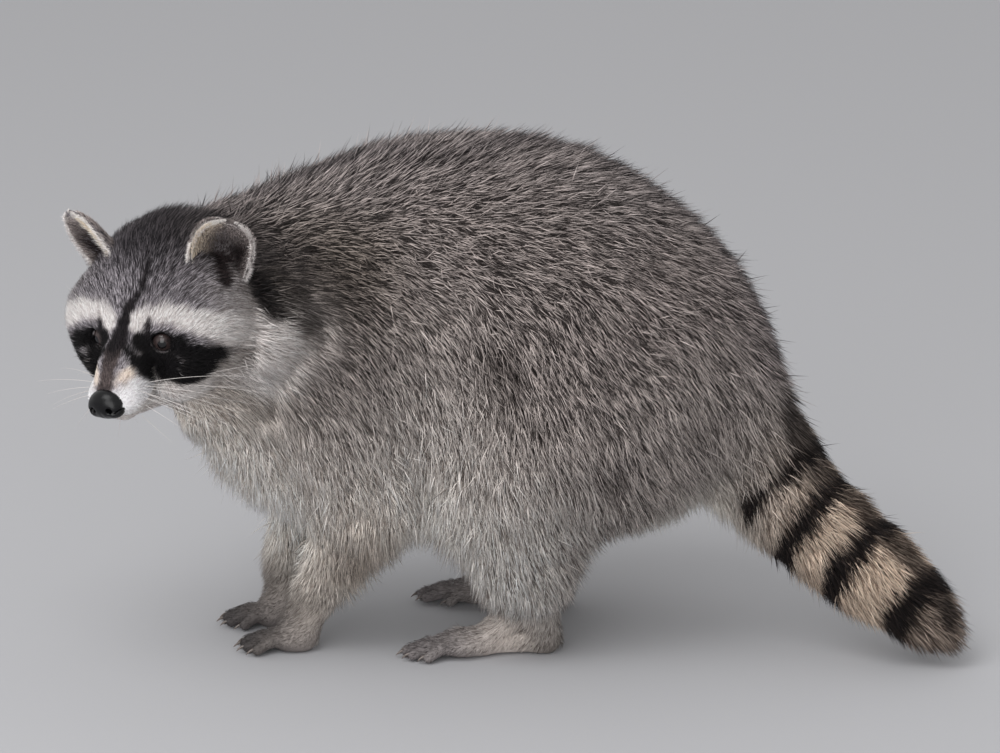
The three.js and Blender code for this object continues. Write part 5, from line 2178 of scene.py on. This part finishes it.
class Whiskers:
    """The whiskers: stiff pale hairs from the muzzle's sides, the brows and the chin."""

    steps = 12
    thickness = 0.00017
    farthest = -0.3215

    def __init__(self, anatomy: Anatomy, seed: int = 21) -> None:
        """Keeps the animal's places and starts the random numbers."""
        self.anatomy = anatomy
        self.rng = np.random.default_rng(seed)

    def lines(self) -> list[Array]:
        """The middle of each whisker.

        Returns:
            Its points, one row each, in the world.
        """
        made = []
        for side in SIDES.values():
            for row in range(3):
                for place in range(4 if row == 1 else 3):
                    at = (77 - place * 4.4, side * (14.5 + place * 1.5), -15.0 - row * 4.6)
                    way = (0.1 - place * 0.24, side * 1.0, 0.02 - row * 0.3)
                    made.append(self.line(at, way, 48 + place * 12 - row * 5, 8 + place * 4.5))
            for place in range(4):
                at = (62 - place * 3, side * (20.5 + place), -23.0 - place * 4)
                way = (-0.75, side * (0.85 - 0.1 * place), 0.05 - 0.28 * place)
                made.append(self.line(at, way, 82 - place * 4, 14))
            for place in range(2):
                at = (50 - place * 4, side * (18 + place * 8), 22)
                made.append(self.line(at, (0.2, side * 0.5, 0.9), 22, -3))
            made.append(self.line((72, side * 8, -39), (-0.1, side * 0.6, -0.8), 24, 3))
        return made

    def line(self, at: Triple, way: Triple, length: float, droop: float) -> Array:
        """One whisker, cut where it would pass the animal's farthest reach.

        Args:
            at: Its root, in the head's frame, in millimetres.
            way: Its direction there.
            length: Its length, in millimetres.
            droop: How far its tip hangs below the straight line.

        Returns:
            Its points, in metres.
        """
        t = np.linspace(0, 1, self.steps)[:, None]
        way = unit(np.array(way) + self.rng.normal(size=3) * 0.07)
        length = length * self.rng.uniform(0.9, 1.1)
        local = np.array(at) + way * length * t + np.array([-0.45, 0, -1.0]) * droop * t**2
        line = self.anatomy.head.world(local)
        if line[:, 0].min() > self.farthest:
            return line
        share = (line[0, 0] - self.farthest) / (line[0, 0] - line[:, 0].min())
        return line[0] + (line - line[0]) * share

    def build(self) -> None:
        """Makes the whiskers as one piece of tapering tubes."""
        lines = self.lines()
        count = len(lines)
        mesh = bpy.data.meshes.new("whisker_lines")
        number = np.arange(count * self.steps).reshape(count, self.steps)
        edges = np.stack([number[:, :-1], number[:, 1:]], -1).reshape(-1, 2)
        mesh.from_pydata(np.vstack(lines).tolist(), edges.tolist(), [])
        taper = np.tile(1 - 0.85 * np.linspace(0, 1, self.steps) ** 1.4, count)
        mesh.attributes.new("taper", "FLOAT", "POINT").data.foreach_set("value", taper.astype(np.float32))
        piece = bpy.data.objects.new("whiskers", mesh)
        bpy.context.scene.collection.objects.link(piece)
        group, sockets = self.tubes()
        modifier = piece.modifiers.new("tubes", "NODES")
        modifier.node_group = group
        modifier[sockets["Thickness"]] = self.thickness
        modifier[sockets["Finish"]] = Finish("whisker", 0.35, (214, 208, 204)).made()
        evaluated = piece.evaluated_get(bpy.context.evaluated_depsgraph_get())
        piece.data = bpy.data.meshes.new_from_object(evaluated)
        piece.modifiers.clear()
        piece.data.shade_smooth()
        LOG.info("whiskers: %d, %d faces", count, len(piece.data.polygons))
        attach(piece, "root")

    @staticmethod
    def tubes() -> tuple[bpy.types.NodeTree, dict[str, str]]:
        """Nodes that turn lines into tapering tubes.

        Returns:
            The group and the identifier of each of its inputs by name.
        """
        group = bpy.data.node_groups.new("tubes", "GeometryNodeTree")
        face = group.interface
        face.new_socket("Geometry", in_out="OUTPUT", socket_type="NodeSocketGeometry")
        face.new_socket("Geometry", in_out="INPUT", socket_type="NodeSocketGeometry")
        thick = face.new_socket("Thickness", in_out="INPUT", socket_type="NodeSocketFloat")
        finish = face.new_socket("Finish", in_out="INPUT", socket_type="NodeSocketMaterial")
        nodes, links = group.nodes, group.links
        start, end = nodes.new("NodeGroupInput"), nodes.new("NodeGroupOutput")
        line = nodes.new("GeometryNodeMeshToCurve")
        taper = nodes.new("GeometryNodeInputNamedAttribute")
        taper.data_type = "FLOAT"
        taper.inputs["Name"].default_value = "taper"
        size = nodes.new("ShaderNodeMath")
        size.operation = "MULTIPLY"
        profile = nodes.new("GeometryNodeCurvePrimitiveCircle")
        profile.inputs["Resolution"].default_value = 5
        profile.inputs["Radius"].default_value = 1.0
        tube = nodes.new("GeometryNodeCurveToMesh")
        tube.inputs["Fill Caps"].default_value = True
        whole = nodes.new("GeometryNodeRealizeInstances")
        dress = nodes.new("GeometryNodeSetMaterial")
        links.new(start.outputs["Geometry"], line.inputs["Mesh"])
        links.new(taper.outputs["Attribute"], size.inputs[0])
        links.new(start.outputs["Thickness"], size.inputs[1])
        links.new(line.outputs["Curve"], tube.inputs["Curve"])
        links.new(size.outputs["Value"], tube.inputs["Scale"])
        links.new(profile.outputs["Curve"], tube.inputs["Profile Curve"])
        links.new(tube.outputs["Mesh"], whole.inputs["Geometry"])
        links.new(whole.outputs["Geometry"], dress.inputs["Geometry"])
        links.new(start.outputs["Finish"], dress.inputs["Material"])
        links.new(dress.outputs["Geometry"], end.inputs["Geometry"])
        return group, {"Thickness": thick.identifier, "Finish": finish.identifier}


# ---- surroundings
@dataclass
class Studio:
    """The floor, the light and the camera."""

    distance: float = 3.5
    lens: float = 188.0
    elevation: float = 16.0
    target: Triple = (-0.01166, 0.02085, 0.1774)

    def build(self) -> None:
        """Makes them all."""
        scene = bpy.context.scene
        scene.view_settings.view_transform = "Standard"
        self.floor()
        self.world()
        self.lamp("key", (-0.9, -1.3, 2.5), 1.8, 36.0)
        self.lamp("fill", (-0.6, -2.6, 0.8), 2.0, 34.0)
        self.camera()

    def floor(self) -> None:
        """A wide plain floor."""
        size = 6.0
        corners = [(-size, -size, 0), (size, -size, 0), (size, size, 0), (-size, size, 0)]
        piece = mesh_object("floor", np.array(corners), [(0, 1, 2, 3)])
        piece.data.materials.append(Finish("floor", 0.9, (174, 174, 177)).made())
        piece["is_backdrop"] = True

    def world(self) -> None:
        """Even light from all round."""
        world = bpy.data.worlds.new("studio")
        world.use_nodes = True
        sky = world.node_tree.nodes["Background"]
        sky.inputs["Color"].default_value = (1, 1, 1, 1)
        sky.inputs["Strength"].default_value = 0.74
        bpy.context.scene.world = world

    def lamp(self, name: str, at: Triple, size: float, power: float) -> None:
        """A square soft lamp that looks at the animal's middle.

        Args:
            name: Its name.
            at: Its place.
            size: Its side, in metres.
            power: In watts.
        """
        data = bpy.data.lights.new(name, "AREA")
        data.size = size
        data.energy = power
        lamp = bpy.data.objects.new(name, data)
        lamp.location = at
        lamp.rotation_euler = (Vector(self.target) - Vector(at)).to_track_quat("-Z", "Y").to_euler()
        bpy.context.scene.collection.objects.link(lamp)

    def camera(self) -> None:
        """A long lens from the animal's left, a little above it."""
        data = bpy.data.cameras.new("camera")
        data.lens = self.lens
        data.sensor_width = 36.0
        data.clip_end = 50.0
        camera = bpy.data.objects.new("camera", data)
        rise = math.radians(self.elevation)
        back = Vector((0, -math.cos(rise), math.sin(rise)))
        camera.location = Vector(self.target) + back * self.distance
        camera.rotation_euler = (-back).to_track_quat("-Z", "Y").to_euler()
        bpy.context.scene.collection.objects.link(camera)
        bpy.context.scene.camera = camera


def main() -> None:
    """Builds the raccoon and its surroundings."""
    logging.basicConfig(level=logging.INFO, format="%(message)s")
    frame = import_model()
    anatomy = Anatomy(frame)
    coat = Coat(anatomy)
    markings = Markings(anatomy, coat)
    builder = Skin(anatomy, coat)
    skin = builder.build()
    total = len(skin.data.polygons)
    tinted_skin(skin, markings)
    skin.data.materials.append(Finish("under_coat", 0.8, attribute="coat", bump=0.5, specular=0.2).made())
    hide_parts(*builder.flesh())
    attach(skin, "root")
    hair = Finish("hair", 0.6, attribute="coat", specular=0.25).made()
    for piece in Fur(skin, builder.main_triangles, markings).grow(hair):
        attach(piece, "root")
        total += len(piece.data.polygons)
    LOG.info("skin and coat: %d triangles", total)
    EyePieces(anatomy).build()
    Nose(anatomy).build()
    Claws(frame).build()
    Whiskers(anatomy).build()
    Studio().build()
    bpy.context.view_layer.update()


if __name__ == "__main__":
    main()
